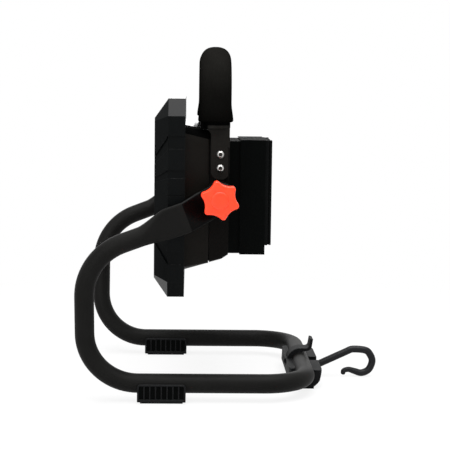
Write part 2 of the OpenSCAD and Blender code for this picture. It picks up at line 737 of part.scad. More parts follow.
module rear_housing() {
    wall = shell_wall - 1;
    pad_front = strap_y - strap_w / 2 - 0.5;
    color("#26221e") on_head() difference() {
        union() {
            difference() {
                rear_outline(0);
                difference() {
                    rear_outline(wall);
                    translate([-300, rear_dist - wall, -300]) cube(600);
                }
                along_y(rear_front - 1, rear_front + 1)
                    rounded_rect(side_x + side_step - wall, rear_h - wall, 11);
            }
            // thicker side walls behind the straps' seats, and the pivot bosses
            translate([0, 0, head_drop]) both_sides() {
                translate([side_x - 8, pad_front, -boss_r]) cube([8, rear_dist - pad_front, boss_r + 50]);
                difference() {
                    rod_x(side_x - 8, boss_x, boss_r);
                    // in front of the seam the boss stays outside the middle housing
                    translate([side_x - 9, -2 * boss_r, -2 * boss_r])
                        cube([9 + side_step + slip_gap, rear_front + 2 * boss_r, 4 * boss_r]);
                }
                rod_x(side_x - 22, side_x - 7, stud_r + 5);
            }
            four_corners(post_x, post_z) rod_y(rear_front, rear_dist - 1, 5);
            four_corners(board_x, board_z) rod_y(board_y + board_t, rear_dist - 1, 3.2);
        }
        translate([0, 0, head_drop]) {
            both_sides() {
                translate([side_x, strap_y - strap_w / 2 - slip_gap, strap_foot - slip_gap])
                    cube([side_step + 1, strap_w + 2 * slip_gap, frame_h]);
                rod_x(side_x - 18, boss_x + 1, stud_r + run_gap);
                for (z = screw_rows) translate([0, strap_y, z]) rod_x(side_x - 12, side_x + 1, 2 + run_gap);
            }
            dock_screw_places() rod_y(rear_dist - 6, rear_dist + 1, 1.5 + run_gap);
        }
        four_corners(post_x, post_z) {
            rod_y(rear_front - 1, rear_dist + 1, 1.8 + run_gap);
            rod_y(rear_dist - 3, rear_dist + 1, 3.6);
        }
        four_corners(board_x, board_z) rod_y(board_y, rear_dist - 3, 1.3 + run_gap);
        translate([0, 0, lead_z]) rod_y(rear_dist - 6, rear_dist + 1, lead_hole_r);
    }
}

module housing_screws() {
    color("silver") on_head() four_corners(post_x, post_z) translate([0, rear_dist - 0.5, 0])
        mirror([0, 1, 0]) cap_screw(3.3, 2.5, 1.8, rear_dist - seam_y + 10);
}

module driver_board() {
    color("#1f6b3a") on_head() difference() {
        union() {
            along_y(board_y, board_y + board_t) rounded_rect(board_x + 8, board_z + 6, 3);
            for (x = [-24, -8, 22]) translate([x, 0, 12])
                rod_y(board_y + board_t, board_y + board_t + 8, 4.5);
            translate([-30, board_y + board_t, -22]) cube([22, 6, 14]);
            translate([12, board_y + board_t, -20]) cube([14, 7, 10]);
        }
        four_corners(board_x, board_z) rod_y(board_y - 1, board_y + board_t + 1, 1.3 + run_gap);
    }
}

module driver_board_screws() {
    color("silver") on_head() four_corners(board_x, board_z) translate([0, board_y - 1.6, 0])
        cap_screw(2.4, 1.6, 1.3, 8);
}

module battery_leads() {
    color("#b03030") on_head() for (x = [-2, 2])
        translate([x, 0, lead_z]) rod_y(board_y + board_t, dock_back - 4, 1.1);
}

// ---- Battery dock ----

dock_neck = 14;
dock_wall = 3;
block_w = 40;
block_top = 8;
block_low = -30;

module dock_screw_places() for (x = [-32, 32], z = [-46, 40]) translate([x, 0, z]) children();

module rail_screw_places() for (x = [-24, 24], z = [-dock_drop + 19, dock_top - 9])
    translate([x, 0, z]) children();

module battery_dock() {
    color("#1d2022") on_axis() difference() {
        union() {
            difference() {
                union() {
                    translate([-dock_w / 2 + 3, rear_dist, -dock_drop + 1])
                        cube([dock_w - 6, dock_neck + 1, dock_top + dock_drop - 2.5]);
                    translate([-dock_w / 2, rear_dist + dock_neck, -dock_drop])
                        cube([dock_w, dock_depth - dock_neck, dock_top + dock_drop]);
                }
                translate([-dock_w / 2 + 3 + dock_wall, rear_dist + dock_wall, -dock_drop + 3 + dock_wall])
                    cube([dock_w - 6 - 2 * dock_wall, dock_depth, dock_top + dock_drop - 6 - 2 * dock_wall]);
            }
            rail_screw_places() rod_y(rear_dist + 1, dock_back, 4);
            // shelf under the switch
            translate([-10, rear_dist + dock_wall, dock_top - 19]) cube([20, dock_depth - dock_wall, 2]);
        }
        dock_screw_places() rod_y(rear_dist - 1, rear_dist + dock_wall + 1, 1.5 + run_gap);
        rail_screw_places() rod_y(dock_back - 12, dock_back + 1, 1.5 + run_gap);
        translate([0, 0, lead_z - head_drop]) rod_y(rear_dist - 1, rear_dist + dock_wall + 1, lead_hole_r);
        translate([0, button_y, dock_top - 12]) cylinder(h = 20, d = button_d + 2 * slip_gap);
    }
}

module dock_screws() {
    color("silver") on_axis() dock_screw_places() translate([0, rear_dist + dock_wall + 2, 0])
        mirror([0, 1, 0]) cap_screw(2.8, 2, 1.5, 10);
}

// Plate that the battery slides onto, with two undercut rails
module rail_plate() {
    low = -dock_drop + 9.8;
    top = dock_top - 0.6;
    base = 3;
    rail_in = 29;
    rail_out = 36;
    lip = 3;
    slot = rail_t - base - 2.2;
    color("#17191b") on_axis() translate([0, dock_back, 0]) difference() {
        union() {
            translate([-dock_w / 2 + 3, 0, low]) cube([dock_w - 6, base, top - low]);
            both_sides() {
                translate([rail_in, base, low]) cube([rail_out - rail_in, slot, top - low]);
                translate([rail_in, base + slot, low]) cube([rail_out - rail_in + lip, 2.2, top - low]);
            }
            translate([-16, base, top - 8]) cube([32, 3, 8]);
        }
        // window for the terminal block, and a recess for the battery's latch
        translate([-block_w / 2 - slip_gap, -1, block_low - slip_gap])
            cube([block_w + 2 * slip_gap, base + 2, block_top - block_low + 2 * slip_gap]);
        translate([-9, base - 1.5, block_top + 14]) cube([18, 2, 9]);
        translate([0, -dock_back, 0]) rail_screw_places() {
            rod_y(dock_back - 1, dock_back + base + 1, 1.5 + run_gap);
            rod_y(dock_back + base - 1.2, dock_back + base + 1, 3);
        }
    }
}

module rail_screws() {
    color("silver") on_axis() rail_screw_places() translate([0, dock_back + 3.6, 0])
        mirror([0, 1, 0]) cap_screw(2.8, 1.8, 1.5, 12);
}

module blade_places() for (i = [-1.5, -0.5, 0.5, 1.5]) translate([i * 9, 0, 0]) children();

module terminal_block() {
    color("#101214") on_axis() difference() {
        union() {
            translate([-block_w / 2, dock_back - 4, block_low])
                cube([block_w, 4 + rail_t - 0.5, block_top - block_low]);
            translate([-block_w / 2 - 2, dock_back - 4, block_low - 2])
                cube([block_w + 4, 4, block_top - block_low + 4]);
        }
        blade_places() translate([-1.8, dock_back, block_low - 1])
            cube([3.6, rail_t, block_top - block_low - 5]);
    }
}

module terminal_blades() {
    color("#c9a24a") on_axis() blade_places()
        translate([-0.4, dock_back, block_low + 6]) cube([0.8, rail_t - 1.2, block_top - block_low - 12]);
}

// ---- Switch ----

module switch_body() {
    size = 12;
    top = dock_top - 3 - dock_wall - 2 - button_travel;
    low = dock_top - 17;
    color("#22262a") on_axis() translate([0, button_y, 0]) {
        translate([-size / 2, -size / 2, low]) cube([size, size, top - low - 1.5]);
        translate([0, 0, low]) cylinder(h = top - low - 0.3, r = 2.4);
    }
}

module power_button() {
    roof = dock_top - 3 - dock_wall;
    color("#3a3d40") on_axis() translate([0, button_y, 0]) {
        translate([0, 0, roof - 2]) cylinder(h = dock_top - roof + 2.5, d = button_d);
        translate([0, 0, roof - 2]) cylinder(h = 2, d = button_d + 4);
    }
}

// ---- Handle ----

module handle_leg_2d() {
    fillet = 8;
    low = 62;
    wide_from = grip_y - grip_d / 2 + 0.6;
    wide_to = strap_y + strap_w / 2;
    foot_r = 8;
    neck = strap_y - strap_w / 2;
    difference() {
        union() {
            translate([neck + foot_r, strap_foot]) square([strap_w - 2 * foot_r, collar_z - strap_foot]);
            translate([neck, strap_foot + foot_r]) square([strap_w, collar_z - strap_foot - foot_r]);
            for (y = [neck + foot_r, wide_to - foot_r]) translate([y, strap_foot + foot_r]) circle(foot_r);
            translate([wide_from, low]) square([wide_to - wide_from, collar_z - low]);
        }
        translate([neck - fillet, low - 1]) circle(fillet);
        translate([neck - fillet - 20, low - 20]) square([20, 26]);
    }
}

module u_path(r, extra) {
    bend_z = grip_rise - grip_bend_r;
    both_sides() {
        translate([leg_x, 0, collar_z - extra]) cylinder(h = bend_z - collar_z + extra, r = r);
        translate([leg_x - grip_bend_r, 0, bend_z]) rotate([90, 0, 0])
            rotate_extrude(angle = 90) translate([grip_bend_r, 0]) circle(r);
    }
    translate([0, 0, grip_rise]) rod_x(-(leg_x - grip_bend_r), leg_x - grip_bend_r, r);
}

module handle_bar() {
    color("#26221e") on_axis() difference() {
        union() {
            both_sides() {
                along_x(side_x, side_x + strap_t) handle_leg_2d();
                // saddle that carries the grip's lower end
                translate([leg_x, grip_y, collar_z - 6]) cylinder(h = 6, r = grip_d / 2 - 1);
            }
            translate([0, grip_y, 0]) u_path(core_d / 2, 3);
        }
        both_sides() for (z = screw_rows) translate([0, strap_y, z])
            rod_x(side_x - 1, side_x + strap_t + 1, 2 + run_gap);
    }
}

module handle_grip() {
    color("#161616") on_axis() translate([0, grip_y, 0]) difference() {
        union() {
            u_path(grip_d / 2, 0);
            both_sides() translate([leg_x, 0, collar_z]) {
                cylinder(h = 5, r = grip_d / 2 + collar_grow);
                translate([0, 0, 5]) cylinder(h = 14, r1 = grip_d / 2 + collar_grow, r2 = grip_d / 2);
            }
        }
        u_path(core_d / 2 + run_gap, 1);
    }
}

module handle_screws() {
    color("#d8d8d8") on_axis() both_sides() for (z = screw_rows)
        translate([side_x + strap_t, strap_y, z]) difference() {
            union() {
                rod_x(0, 2.8, 4.3);
                rod_x(-strap_t - 9, 0, 2);
            }
            rod_x(1.2, 4, 2, $fn = 6);
        }
}

// ---- Tilt joint and knobs ----

knob_x = plate_out + pressure_t;
stud_end = knob_x + hub_len + knob_t * 0.55;

module pivot_studs() {
    color("silver") on_axis() both_sides() rod_x(side_x - 17, stud_end - knob_travel, stud_r);
}

module friction_washers() {
    color("#121212") on_axis() both_sides() difference() {
        rod_x(boss_x, plate_x, flat_w / 2 - 1);
        rod_x(boss_x - 1, plate_x + 1, stud_r + run_gap);
    }
}

module knob_washer() {
    difference() {
        rod_x(plate_out, knob_x, hub_r + 1);
        rod_x(plate_out - 1, knob_x + 1, stud_r + run_gap);
    }
}

module knob() {
    tip_r = knob_d / 2;
    root_r = tip_r * 0.79;
    tip_a = 5;           // half the angle that a tip covers
    gap_a = 180 / knob_tips - tip_a;
    scallop_at = (tip_r * tip_r - root_r * root_r) / (2 * (tip_r * cos(gap_a) - root_r));
    first_tip = 42;      // direction of the first tip, degrees
    star_x = knob_x + hub_len - 1;
    difference() {
        union() {
            rod_x(knob_x, star_x + 1, hub_r);
            along_x(star_x, star_x + knob_t) rotate(first_tip) difference() {
                circle(tip_r);
                for (i = [0 : knob_tips - 1]) rotate((i + 0.5) * 360 / knob_tips)
                    translate([scallop_at, 0]) circle(scallop_at - root_r);
            }
            rod_x(star_x, star_x + knob_t + 1.2, root_r * 0.72);
        }
        rod_x(knob_x - 1, stud_end, stud_r + run_gap);
    }
}

module knob_washer_right() color("silver") on_axis() knob_washer();

module knob_right() color("#ff4b2d") on_axis() knob();

module knob_washer_left() color("silver") on_axis() mirror([1, 0, 0]) knob_washer();

module knob_left() color("#ff4b2d") on_axis() mirror([1, 0, 0]) knob();

stand_tube();
foot_pad_right();
foot_pad_left();
pad_screws();
hook_holder();
hook();
hook_pin();
clip_strap();
clip_pin_rod();
front_frame();
frame_screws();
lens();
lens_gasket();
reflector();
led_board();
led_chips();
heat_sink();
heat_sink_screws();
lead_wires();
mid_housing();
seam_gasket();
rear_housing();
housing_screws();
driver_board();
driver_board_screws();
battery_leads();
battery_dock();
dock_screws();
rail_plate();
rail_screws();
terminal_block();
terminal_blades();
switch_body();
power_button();
handle_bar();
handle_grip();
handle_screws();
pivot_studs();
friction_washers();
knob_washer_right();
knob_right();
knob_washer_left();
knob_left();
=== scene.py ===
import json
from math import asin, copysign, cos, hypot, pi, radians, sin, sqrt, tan

import bmesh
import bpy
from mathutils import Matrix, Vector

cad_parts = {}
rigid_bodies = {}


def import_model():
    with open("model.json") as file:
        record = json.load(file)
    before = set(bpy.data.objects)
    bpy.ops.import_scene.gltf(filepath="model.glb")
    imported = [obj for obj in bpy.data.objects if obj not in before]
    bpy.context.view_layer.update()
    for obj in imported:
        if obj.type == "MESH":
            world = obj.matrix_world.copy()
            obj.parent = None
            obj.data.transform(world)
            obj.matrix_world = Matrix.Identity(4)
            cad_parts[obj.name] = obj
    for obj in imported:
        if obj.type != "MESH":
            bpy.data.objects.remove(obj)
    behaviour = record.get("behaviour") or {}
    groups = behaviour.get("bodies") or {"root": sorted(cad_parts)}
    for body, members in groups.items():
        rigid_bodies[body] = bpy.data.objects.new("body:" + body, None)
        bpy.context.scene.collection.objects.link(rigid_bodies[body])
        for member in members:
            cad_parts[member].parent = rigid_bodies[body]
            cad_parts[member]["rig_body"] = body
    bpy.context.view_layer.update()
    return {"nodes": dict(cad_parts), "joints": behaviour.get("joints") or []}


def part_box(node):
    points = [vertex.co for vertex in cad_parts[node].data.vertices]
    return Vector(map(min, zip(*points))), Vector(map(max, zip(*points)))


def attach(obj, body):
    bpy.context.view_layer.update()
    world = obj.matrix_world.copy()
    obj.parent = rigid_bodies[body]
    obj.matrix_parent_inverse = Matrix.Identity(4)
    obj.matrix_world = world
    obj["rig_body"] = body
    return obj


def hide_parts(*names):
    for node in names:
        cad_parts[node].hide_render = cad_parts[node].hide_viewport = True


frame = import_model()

scene = bpy.context.scene
mm = 0.001
joints = {joint["name"]: joint for joint in frame["joints"]}
tilt = Vector(joints["head_tilt"]["pos_m"])  # a point on the tilt axis
print("frame loaded:", len(frame["nodes"]), "nodes")


# A point given in millimetres from the tilt axis
def fromTilt(x, y, z):
    return Vector((x * mm, tilt.y + y * mm, tilt.z + z * mm))


# Shader maths: a socket that adds, subtracts and multiplies like a number

class Wire:
    def __init__(self, nodes, socket):
        self.nodes = nodes
        self.socket = socket

    def __add__(self, other):
        return self.nodes.maths("ADD", self, other)

    def __sub__(self, other):
        return self.nodes.maths("SUBTRACT", self, other)

    def __rsub__(self, other):
        return self.nodes.maths("SUBTRACT", other, self)

    def __mul__(self, other):
        return self.nodes.maths("MULTIPLY", self, other)

    __radd__ = __add__
    __rmul__ = __mul__


# The nodes of one material or world
class NodeTree:
    def __init__(self, owner, outputKind):
        owner.use_nodes = True
        self.tree = owner.node_tree
        self.tree.nodes.clear()
        self.output = self.tree.nodes.new(outputKind)

    # Any node: its settings first, then the values or links of its sockets
    def node(self, kind, settings=None, inputs=None, output=0):
        made = self.tree.nodes.new(kind)
        for key, value in (settings or {}).items():
            if key == "stops":
                for element, (position, shade) in zip(made.color_ramp.elements, value):
                    element.position = position
                    element.color = (shade, shade, shade, 1)
            else:
                setattr(made, key, value)
        for key, value in (inputs or {}).items():
            self.feed(made.inputs[key], value)
        return Wire(self, made.outputs[output])

    def feed(self, socket, value):
        if isinstance(value, Wire):
            self.tree.links.new(value.socket, socket)
        else:
            socket.default_value = value

    def show(self, surface):
        self.feed(self.output.inputs["Surface"], surface)

    def maths(self, operation, a, b):
        return self.node("ShaderNodeMath", {"operation": operation}, {0: a, 1: b})

    def place(self):
        return self.node("ShaderNodeTexCoord", output="Object")


class Finish(NodeTree):
    def __init__(self, name, shader="ShaderNodeBsdfPrincipled", **uniform):
        self.material = bpy.data.materials.new(name)
        super().__init__(self.material, "ShaderNodeOutputMaterial")
        self.surface = self.node(shader, {}, uniform)
        self.show(self.surface)

    # Noise between 0 and 1; size is the width of one patch in millimetres
    def noise(self, size, detail, stretch=(1, 1, 1)):
        where = self.node("ShaderNodeMapping", {}, {"Vector": self.place(), "Scale": stretch})
        inputs = {"Vector": where, "Scale": 1 / (size * mm), "Detail": detail}
        return self.node("ShaderNodeTexNoise", {}, inputs)

    def cells(self, size):
        return self.node("ShaderNodeTexVoronoi", {}, {"Vector": self.place(), "Scale": 1 / (size * mm)})

    def ramp(self, factor, *stops):
        return self.node("ShaderNodeValToRGB", {"stops": stops}, {"Fac": factor})

    def mix(self, factor, a, b):
        return self.node("ShaderNodeMix", {"data_type": "RGBA"}, {0: factor, 6: rgba(a), 7: rgba(b)}, 2)

    # 1 on an outer or inner edge, 0 on a flat; width in millimetres
    def edges(self, width):
        soft = self.node("ShaderNodeBevel", {"samples": 4}, {"Radius": width * mm})
        hard = self.node("ShaderNodeNewGeometry", output="Normal")
        same = self.node("ShaderNodeVectorMath", {"operation": "DOT_PRODUCT"}, {0: soft, 1: hard}, "Value")
        return self.ramp((1 - same) * 6, (0.05, 0), (0.8, 1))

    def bump(self, height, depth, under=None):
        inputs = {"Height": height, "Distance": depth * mm, "Strength": 1.0}
        if under is not None:
            inputs["Normal"] = under
        return self.node("ShaderNodeBump", {}, inputs)

    def set(self, **sockets):
        for key, value in sockets.items():
            self.feed(self.surface.socket.node.inputs[key.replace("_", " ")], value)
        return self.material


def rgba(colour):
    return colour if isinstance(colour, Wire) else (*colour, 1.0)


# Moulded plastic, powder coat and rubber share one recipe: a grain that bumps, patches that change the
# gloss, a faint change of colour and paler, smoother edges. The paler edges are partly wear and partly a
# painted highlight. Sizes are in millimetres
coat = {"patch": 30, "edgeMarkPatch": 4, "lighter": 1.35, "polish": 0.08}


def coated(name, colour, edgeColour, roughness, grain, gloss, depth=0.03, swing=0.08, edge=0.5):
    finish = Finish(name, **{"Specular IOR Level": gloss})
    fine = finish.noise(grain, 3)
    wide = finish.noise(coat["patch"], 4)
    # paler edges: partly wear, partly a painted highlight
    wornAndHighlit = finish.edges(edge) * finish.ramp(finish.noise(coat["edgeMarkPatch"], 5), (0.35, 0.1), (0.7, 0.8))
    lighter = tuple(min(1, part * coat["lighter"]) for part in colour)
    shade = finish.mix(finish.ramp(wide, (0.3, 0), (0.75, 1)), colour, lighter)
    return finish.set(
        Base_Color=finish.mix(wornAndHighlit, shade, edgeColour),
        Roughness=wide * swing + fine * swing + (roughness - swing) - wornAndHighlit * coat["polish"],
        Normal=finish.bump(fine, depth, finish.bump(wide, depth * 2)))


# Brushed or plated metal, a little darker where it has tarnished
bare = {"streak": 0.6, "tarnish": 5, "darker": 0.8}


def metal(name, colour, roughness, brush=(1, 1, 1)):
    finish = Finish(name, Metallic=1.0)
    streaks = finish.noise(bare["streak"], 3, brush)
    tarnish = finish.ramp(finish.noise(bare["tarnish"], 4), (0.35, 0), (0.7, 1))
    darker = tuple(part * bare["darker"] for part in colour)
    return finish.set(
        Base_Color=finish.mix(tarnish, colour, darker),
        Roughness=streaks * 0.12 + tarnish * 0.06 + roughness,
        Normal=finish.bump(streaks, 0.01))


# Name, colour, edge colour, roughness, grain and gloss, then depth, swing and edge where they differ
coats = {
    "tube": ("blackPowderCoat", (0.0052, 0.0051, 0.0048), (0.016, 0.016, 0.0155), 0.5, 0.9, 0.055, 0.05),
    # the pressed arm ends beyond the fold are darker: painted shade
    "armEnd": ("pressedEndPaintedShade", (0.0008, 0.0008, 0.0008), (0.004, 0.004, 0.004), 0.3, 0.9, 0.05),
    "frame": ("frameSatinBlack", (0.002, 0.0024, 0.0025), (0.014, 0.015, 0.0155), 0.34, 0.5, 0.045),
    # the frame's facets are paler than the frame: painted reflection on the lower ones, painted light on the
    # upper ones
    "facet": ("frameLowerFacetsPaintedReflection", (0.006, 0.0062, 0.0064), (0.02, 0.021, 0.022), 0.3, 0.5, 0.48),
    "topFacet": ("frameTopFacetsPaintedLight", (0.003, 0.0031, 0.0032), (0.02, 0.021, 0.022), 0.36, 0.5, 0.11),
    "housing": ("housingSatinBlack", (0.005, 0.0044, 0.0037), (0.016, 0.015, 0.0135), 0.31, 0.45, 0.045),
    # the rear housing is the housing's colour made darker: painted shade
    "rear": ("rearHousingPaintedShade", (0.0028, 0.0025, 0.0022), (0.014, 0.013, 0.012), 0.31, 0.45, 0.03),
    "tops": ("polishedTopFaces", (0.006, 0.006, 0.0058), (0.03, 0.03, 0.03), 0.14, 0.45, 0.5, 0.01, 0.03),
    # a dull black; on the housing's shoulders and the handle bar's neck it is painted shade
    "neck": ("dullBlackAndPaintedShade", (0.0006, 0.0006, 0.0006), (0.004, 0.004, 0.004), 0.6, 0.45, 0.01),
    "dock": ("dockGreyAndPocketShade", (0.0012, 0.0015, 0.0014), (0.011, 0.012, 0.012), 0.28, 0.45, 0.02),
    "rails": ("railSatinBlack", (0.0019, 0.0022, 0.0022), (0.02, 0.02, 0.021), 0.28, 0.45, 0.04),
    "nylon": ("nylonBlack", (0.0058, 0.006, 0.0063), (0.05, 0.051, 0.053), 0.55, 0.6, 0.03, 0.05, 0.08, 0.8),
    "hook": ("hookCoating", (0.006, 0.0063, 0.007), (0.026, 0.026, 0.028), 0.34, 0.5, 0.13),
    "pads": ("padRubber", (0.0045, 0.0048, 0.005), (0.024, 0.025, 0.026), 0.5, 0.5, 0.07, 0.05),
    "gaskets": ("sealRubber", (0.002, 0.002, 0.002), (0.006, 0.006, 0.006), 0.7, 0.35, 0.03),
    "strap": ("strapSatinBlack", (0.0056, 0.0051, 0.0043), (0.018, 0.0165, 0.015), 0.42, 0.6, 0.06),
    "switch": ("switchRubber", (0.01, 0.0105, 0.011), (0.03, 0.03, 0.03), 0.55, 0.35, 0.1),
    "terminals": ("terminalPlastic", (0.006, 0.006, 0.0065), (0.02, 0.02, 0.02), 0.4, 0.35, 0.1),
    "wires": ("wireInsulation", (0.35, 0.015, 0.012), (0.5, 0.05, 0.04), 0.4, 0.35, 0.4),
    "board": ("greenSolderMask", (0.01, 0.11, 0.035), (0.1, 0.16, 0.1), 0.3, 1.2, 0.5),
    "ledBoard": ("whiteSolderMask", (0.7, 0.7, 0.67), (0.75, 0.75, 0.72), 0.35, 1.0, 0.5),
    "white": ("reflectorWhite", (0.78, 0.78, 0.77), (0.85, 0.85, 0.84), 0.18, 2.0, 0.5, 0.01),
}
# Name, colour, roughness and how the brush marks stretch
metals = {
    "socket": ("socketShadow", (0.035, 0.033, 0.031), 0.4),
    "zinc": ("brightZinc", (0.5, 0.49, 0.47), 0.22),
    "aluminium": ("extrudedAluminium", (0.72, 0.73, 0.74), 0.3, (1, 0.05, 0.05)),
    "brass": ("terminalBrass", (0.8, 0.58, 0.26), 0.2, (1, 1, 0.1)),
}
finishes = {key: coated(*row) for key, row in coats.items()}
finishes.update({key: metal(*row) for key, row in metals.items()})


def knobFinish():
    finish = Finish("knobOrangeRed", **{"Coat Roughness": 0.25, "Specular IOR Level": 0.3})
    fine = finish.noise(0.5, 3)
    flow = finish.noise(9, 4)
    # paler red edges: partly wear, partly a painted highlight
    wornAndHighlit = finish.edges(0.8) * finish.ramp(finish.noise(3, 5), (0.4, 0), (0.75, 0.6))
    shade = finish.mix(finish.ramp(flow, (0.3, 0), (0.7, 1)), (0.88, 0.042, 0.01), (0.94, 0.052, 0.013))
    return finish.set(
        Base_Color=finish.mix(wornAndHighlit, shade, (0.97, 0.1, 0.045)),
        Roughness=fine * 0.1 + flow * 0.08 + 0.3,
        Coat_Weight=flow * 0.05 + 0.03,
        Normal=finish.bump(fine, 0.015))


# The grip's foam is painted lighter towards its top and darker at its legs' feet: painted light and shade;
# the heights are in metres
foam = {"pore": 0.9, "grain": 0.35, "patch": 18, "shadedBelow": 0.285, "litAbove": 0.345,
        "shadedColour": (0.0008, 0.0008, 0.0007), "litColour": (0.0096, 0.0092, 0.0083)}


def foamFinish():
    finish = Finish("gripFoamRubber", **{"Specular IOR Level": 0.0})
    pores = finish.ramp(finish.cells(foam["pore"]), (0.1, 0), (0.45, 1))
    grain = finish.noise(foam["grain"], 4)
    wide = finish.noise(foam["patch"], 4)
    height = finish.node("ShaderNodeSeparateXYZ", {}, {"Vector": finish.place()}, "Z")
    # painted light towards the top, fading to painted shade at the legs' feet
    paintedTopLight = finish.ramp(height, (foam["shadedBelow"], 0.08), (foam["litAbove"], 1))
    return finish.set(
        Base_Color=finish.mix((wide * pores * 0.5 + 0.5) * paintedTopLight, foam["shadedColour"], foam["litColour"]),
        Roughness=grain * 0.1 + wide * 0.08 + 0.76,
        Normal=finish.bump(pores, 0.05, finish.bump(grain, 0.04)))


def glassFinish():
    finish = Finish("lensGlass", **{"Transmission Weight": 1.0, "IOR": 1.5})
    dust = finish.ramp(finish.noise(12, 5), (0.45, 0), (0.8, 1))
    return finish.set(
        Base_Color=finish.mix(dust, (0.97, 0.985, 0.99), (0.93, 0.95, 0.955)),
        Roughness=dust * 0.05 + 0.01,
        Normal=finish.bump(finish.noise(60, 1), 0.02))


def phosphorFinish():
    uniform = {"Coat Roughness": 0.1, "Subsurface Weight": 0.1, "Subsurface Scale": 0.001}
    finish = Finish("ledPhosphor", **uniform)
    grain = finish.noise(0.4, 3)
    return finish.set(
        Base_Color=finish.mix(grain, (0.85, 0.62, 0.1), (0.93, 0.75, 0.22)),
        Roughness=grain * 0.1 + 0.3,
        Coat_Weight=grain * 0.2 + 0.5,
        Normal=finish.bump(grain, 0.02))


finishes.update(knob=knobFinish(), foam=foamFinish(), glass=glassFinish(), phosphor=phosphorFinish())
print("finishes:", len(finishes))


# Mesh helpers

def placed(name, data):
    item = bpy.data.objects.new(name, data)
    scene.collection.objects.link(item)
    return item


def meshOf(name, points, faces):
    mesh = bpy.data.meshes.new(name)
    mesh.from_pydata([tuple(point) for point in points], [], faces)
    return mesh


def addPiece(name, points, faces, *rest):
    return finishPiece(name, meshOf(name, points, faces), *rest)


def finishPiece(name, mesh, finish, body, slot, replaced, sharp, evenFlats=False):
    outward = bmesh.new()
    outward.from_mesh(mesh)
    bmesh.ops.recalc_face_normals(outward, faces=outward.faces)
    outward.to_mesh(mesh)
    outward.free()
    mesh.polygons.foreach_set("use_smooth", [True] * len(mesh.polygons))
    mesh.set_sharp_from_angle(angle=radians(sharp))
    mesh.materials.clear()
    mesh.materials.append(finishes[finish])
    piece = placed(name, mesh)
    if evenFlats:  # shading follows the large faces
        normals = piece.modifiers.new("evenFlats", "WEIGHTED_NORMAL")
        normals.weight = 80
        normals.keep_sharp = True
    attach(piece, body)
    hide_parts(*replaced)
    return piece


# Even steps from 0 to 1, less some at the start and at the end
def fractions(steps, skip=0, drop=0):
    return [i / steps for i in range(skip, steps + 1 - drop)]


# Faces that join one ring of points to the next, with a cap at each open end
def skin(rings, caps=True):
    count = len(rings[0])
    points = [point for ring in rings for point in ring]
    faces = []
    for i in range(len(rings) - 1):
        low, high = i * count, (i + 1) * count
        for j in range(count):
            k = (j + 1) % count
            faces.append((low + j, low + k, high + k, high + j))
    if caps:
        faces.append(tuple(reversed(range(count))))
        faces.append(tuple(range(len(points) - count, len(points))))
    return points, faces


# A ring about a middle; the reach in millimetres is a number or a function of the angle
def ringAbout(middle, side, other, reach, steps):
    ring = []
    for j in range(steps):
        a = 2 * pi * j / steps
        radius = reach(a) if callable(reach) else reach
        ring.append(middle + (side * cos(a) + other * sin(a)) * (radius * mm))
    return ring


# A body turned about an axis; profile holds (distance along the axis, radius) in millimetres
def turned(origin, along, profile, steps=48):
    along = Vector(along).normalized()
    side = along.orthogonal().normalized()
    other = along.cross(side)
    return skin([ringAbout(origin + along * (distance * mm), side, other, radius, steps)
                 for distance, radius in profile])


def joined(parts):
    points, faces = [], []
    for partPoints, partFaces in parts:
        start = len(points)
        points += list(partPoints)
        faces += [tuple(start + index for index in face) for face in partFaces]
    return points, faces


# A copy of a mesh with closed shapes cut out of it
def carved(mesh, points, faces):
    whole, cutter = placed("whole", mesh), placed("cutter", meshOf("cutter", points, faces))
    carve = whole.modifiers.new("carve", "BOOLEAN")
    carve.object, carve.operation, carve.solver = cutter, "DIFFERENCE", "EXACT"
    result = bpy.data.meshes.new_from_object(whole.evaluated_get(bpy.context.evaluated_depsgraph_get()))
    for helper in (whole, cutter):
        bpy.data.objects.remove(helper)
    return result


# Copies of CAD nodes with flats merged and edges rounded: points closer than weld millimetres merge, and so
# do faces within flat degrees; an edge over hard degrees is rounded
softening = {"weld": 0.002, "flat": 0.6, "hard": 25, "segments": 2, "sharp": 50}


def softened(node, finish, slot, width, move=None, cuts=(), grooves=None):
    source, name = frame["nodes"][node], node + "Soft"
    mesh = source.data.copy()
    mesh.name = name
    if mesh.has_custom_normals and "custom_normal" in mesh.attributes:
        mesh.attributes.remove(mesh.attributes["custom_normal"])
    work = bmesh.new()
    work.from_mesh(mesh)
    bmesh.ops.remove_doubles(work, verts=work.verts, dist=softening["weld"] * mm)
    if grooves:
        work.to_mesh(mesh)
        mesh = carved(mesh, *grooves)
        mesh.name = name
        work.clear()
        work.from_mesh(mesh)
    bmesh.ops.dissolve_limit(work, angle_limit=radians(softening["flat"]), verts=work.verts,
                             edges=work.edges)
    for place, normal in cuts:
        everything = work.verts[:] + work.edges[:] + work.faces[:]
        bmesh.ops.bisect_plane(work, geom=everything, plane_co=place, plane_no=normal)
    if move:
        for vert in work.verts:
            move(vert.co)
    limit = radians(softening["hard"])
    hard = [edge for edge in work.edges if len(edge.link_faces) == 2 and edge.calc_face_angle(0) > limit]
    bmesh.ops.bevel(work, geom=hard, offset=width * mm, offset_type="OFFSET", segments=softening["segments"],
                    profile=0.5, affect="EDGES", clamp_overlap=True, miter_outer="SHARP", miter_inner="SHARP")
    bmesh.ops.triangulate(work, faces=[face for face in work.faces if len(face.verts) > 4])
    work.to_mesh(mesh)
    work.free()
    return finishPiece(name, mesh, finish, source["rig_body"], slot, (node,), softening["sharp"],
                       evenFlats=True)


# Gives the faces that pass a test of middle and normal a second finish
def trimmed(piece, finish, test):
    piece.data.materials.append(finishes[finish])
    index = len(piece.data.materials) - 1
    for face in piece.data.polygons:
        if test(face.center, face.normal):
            face.material_index = index


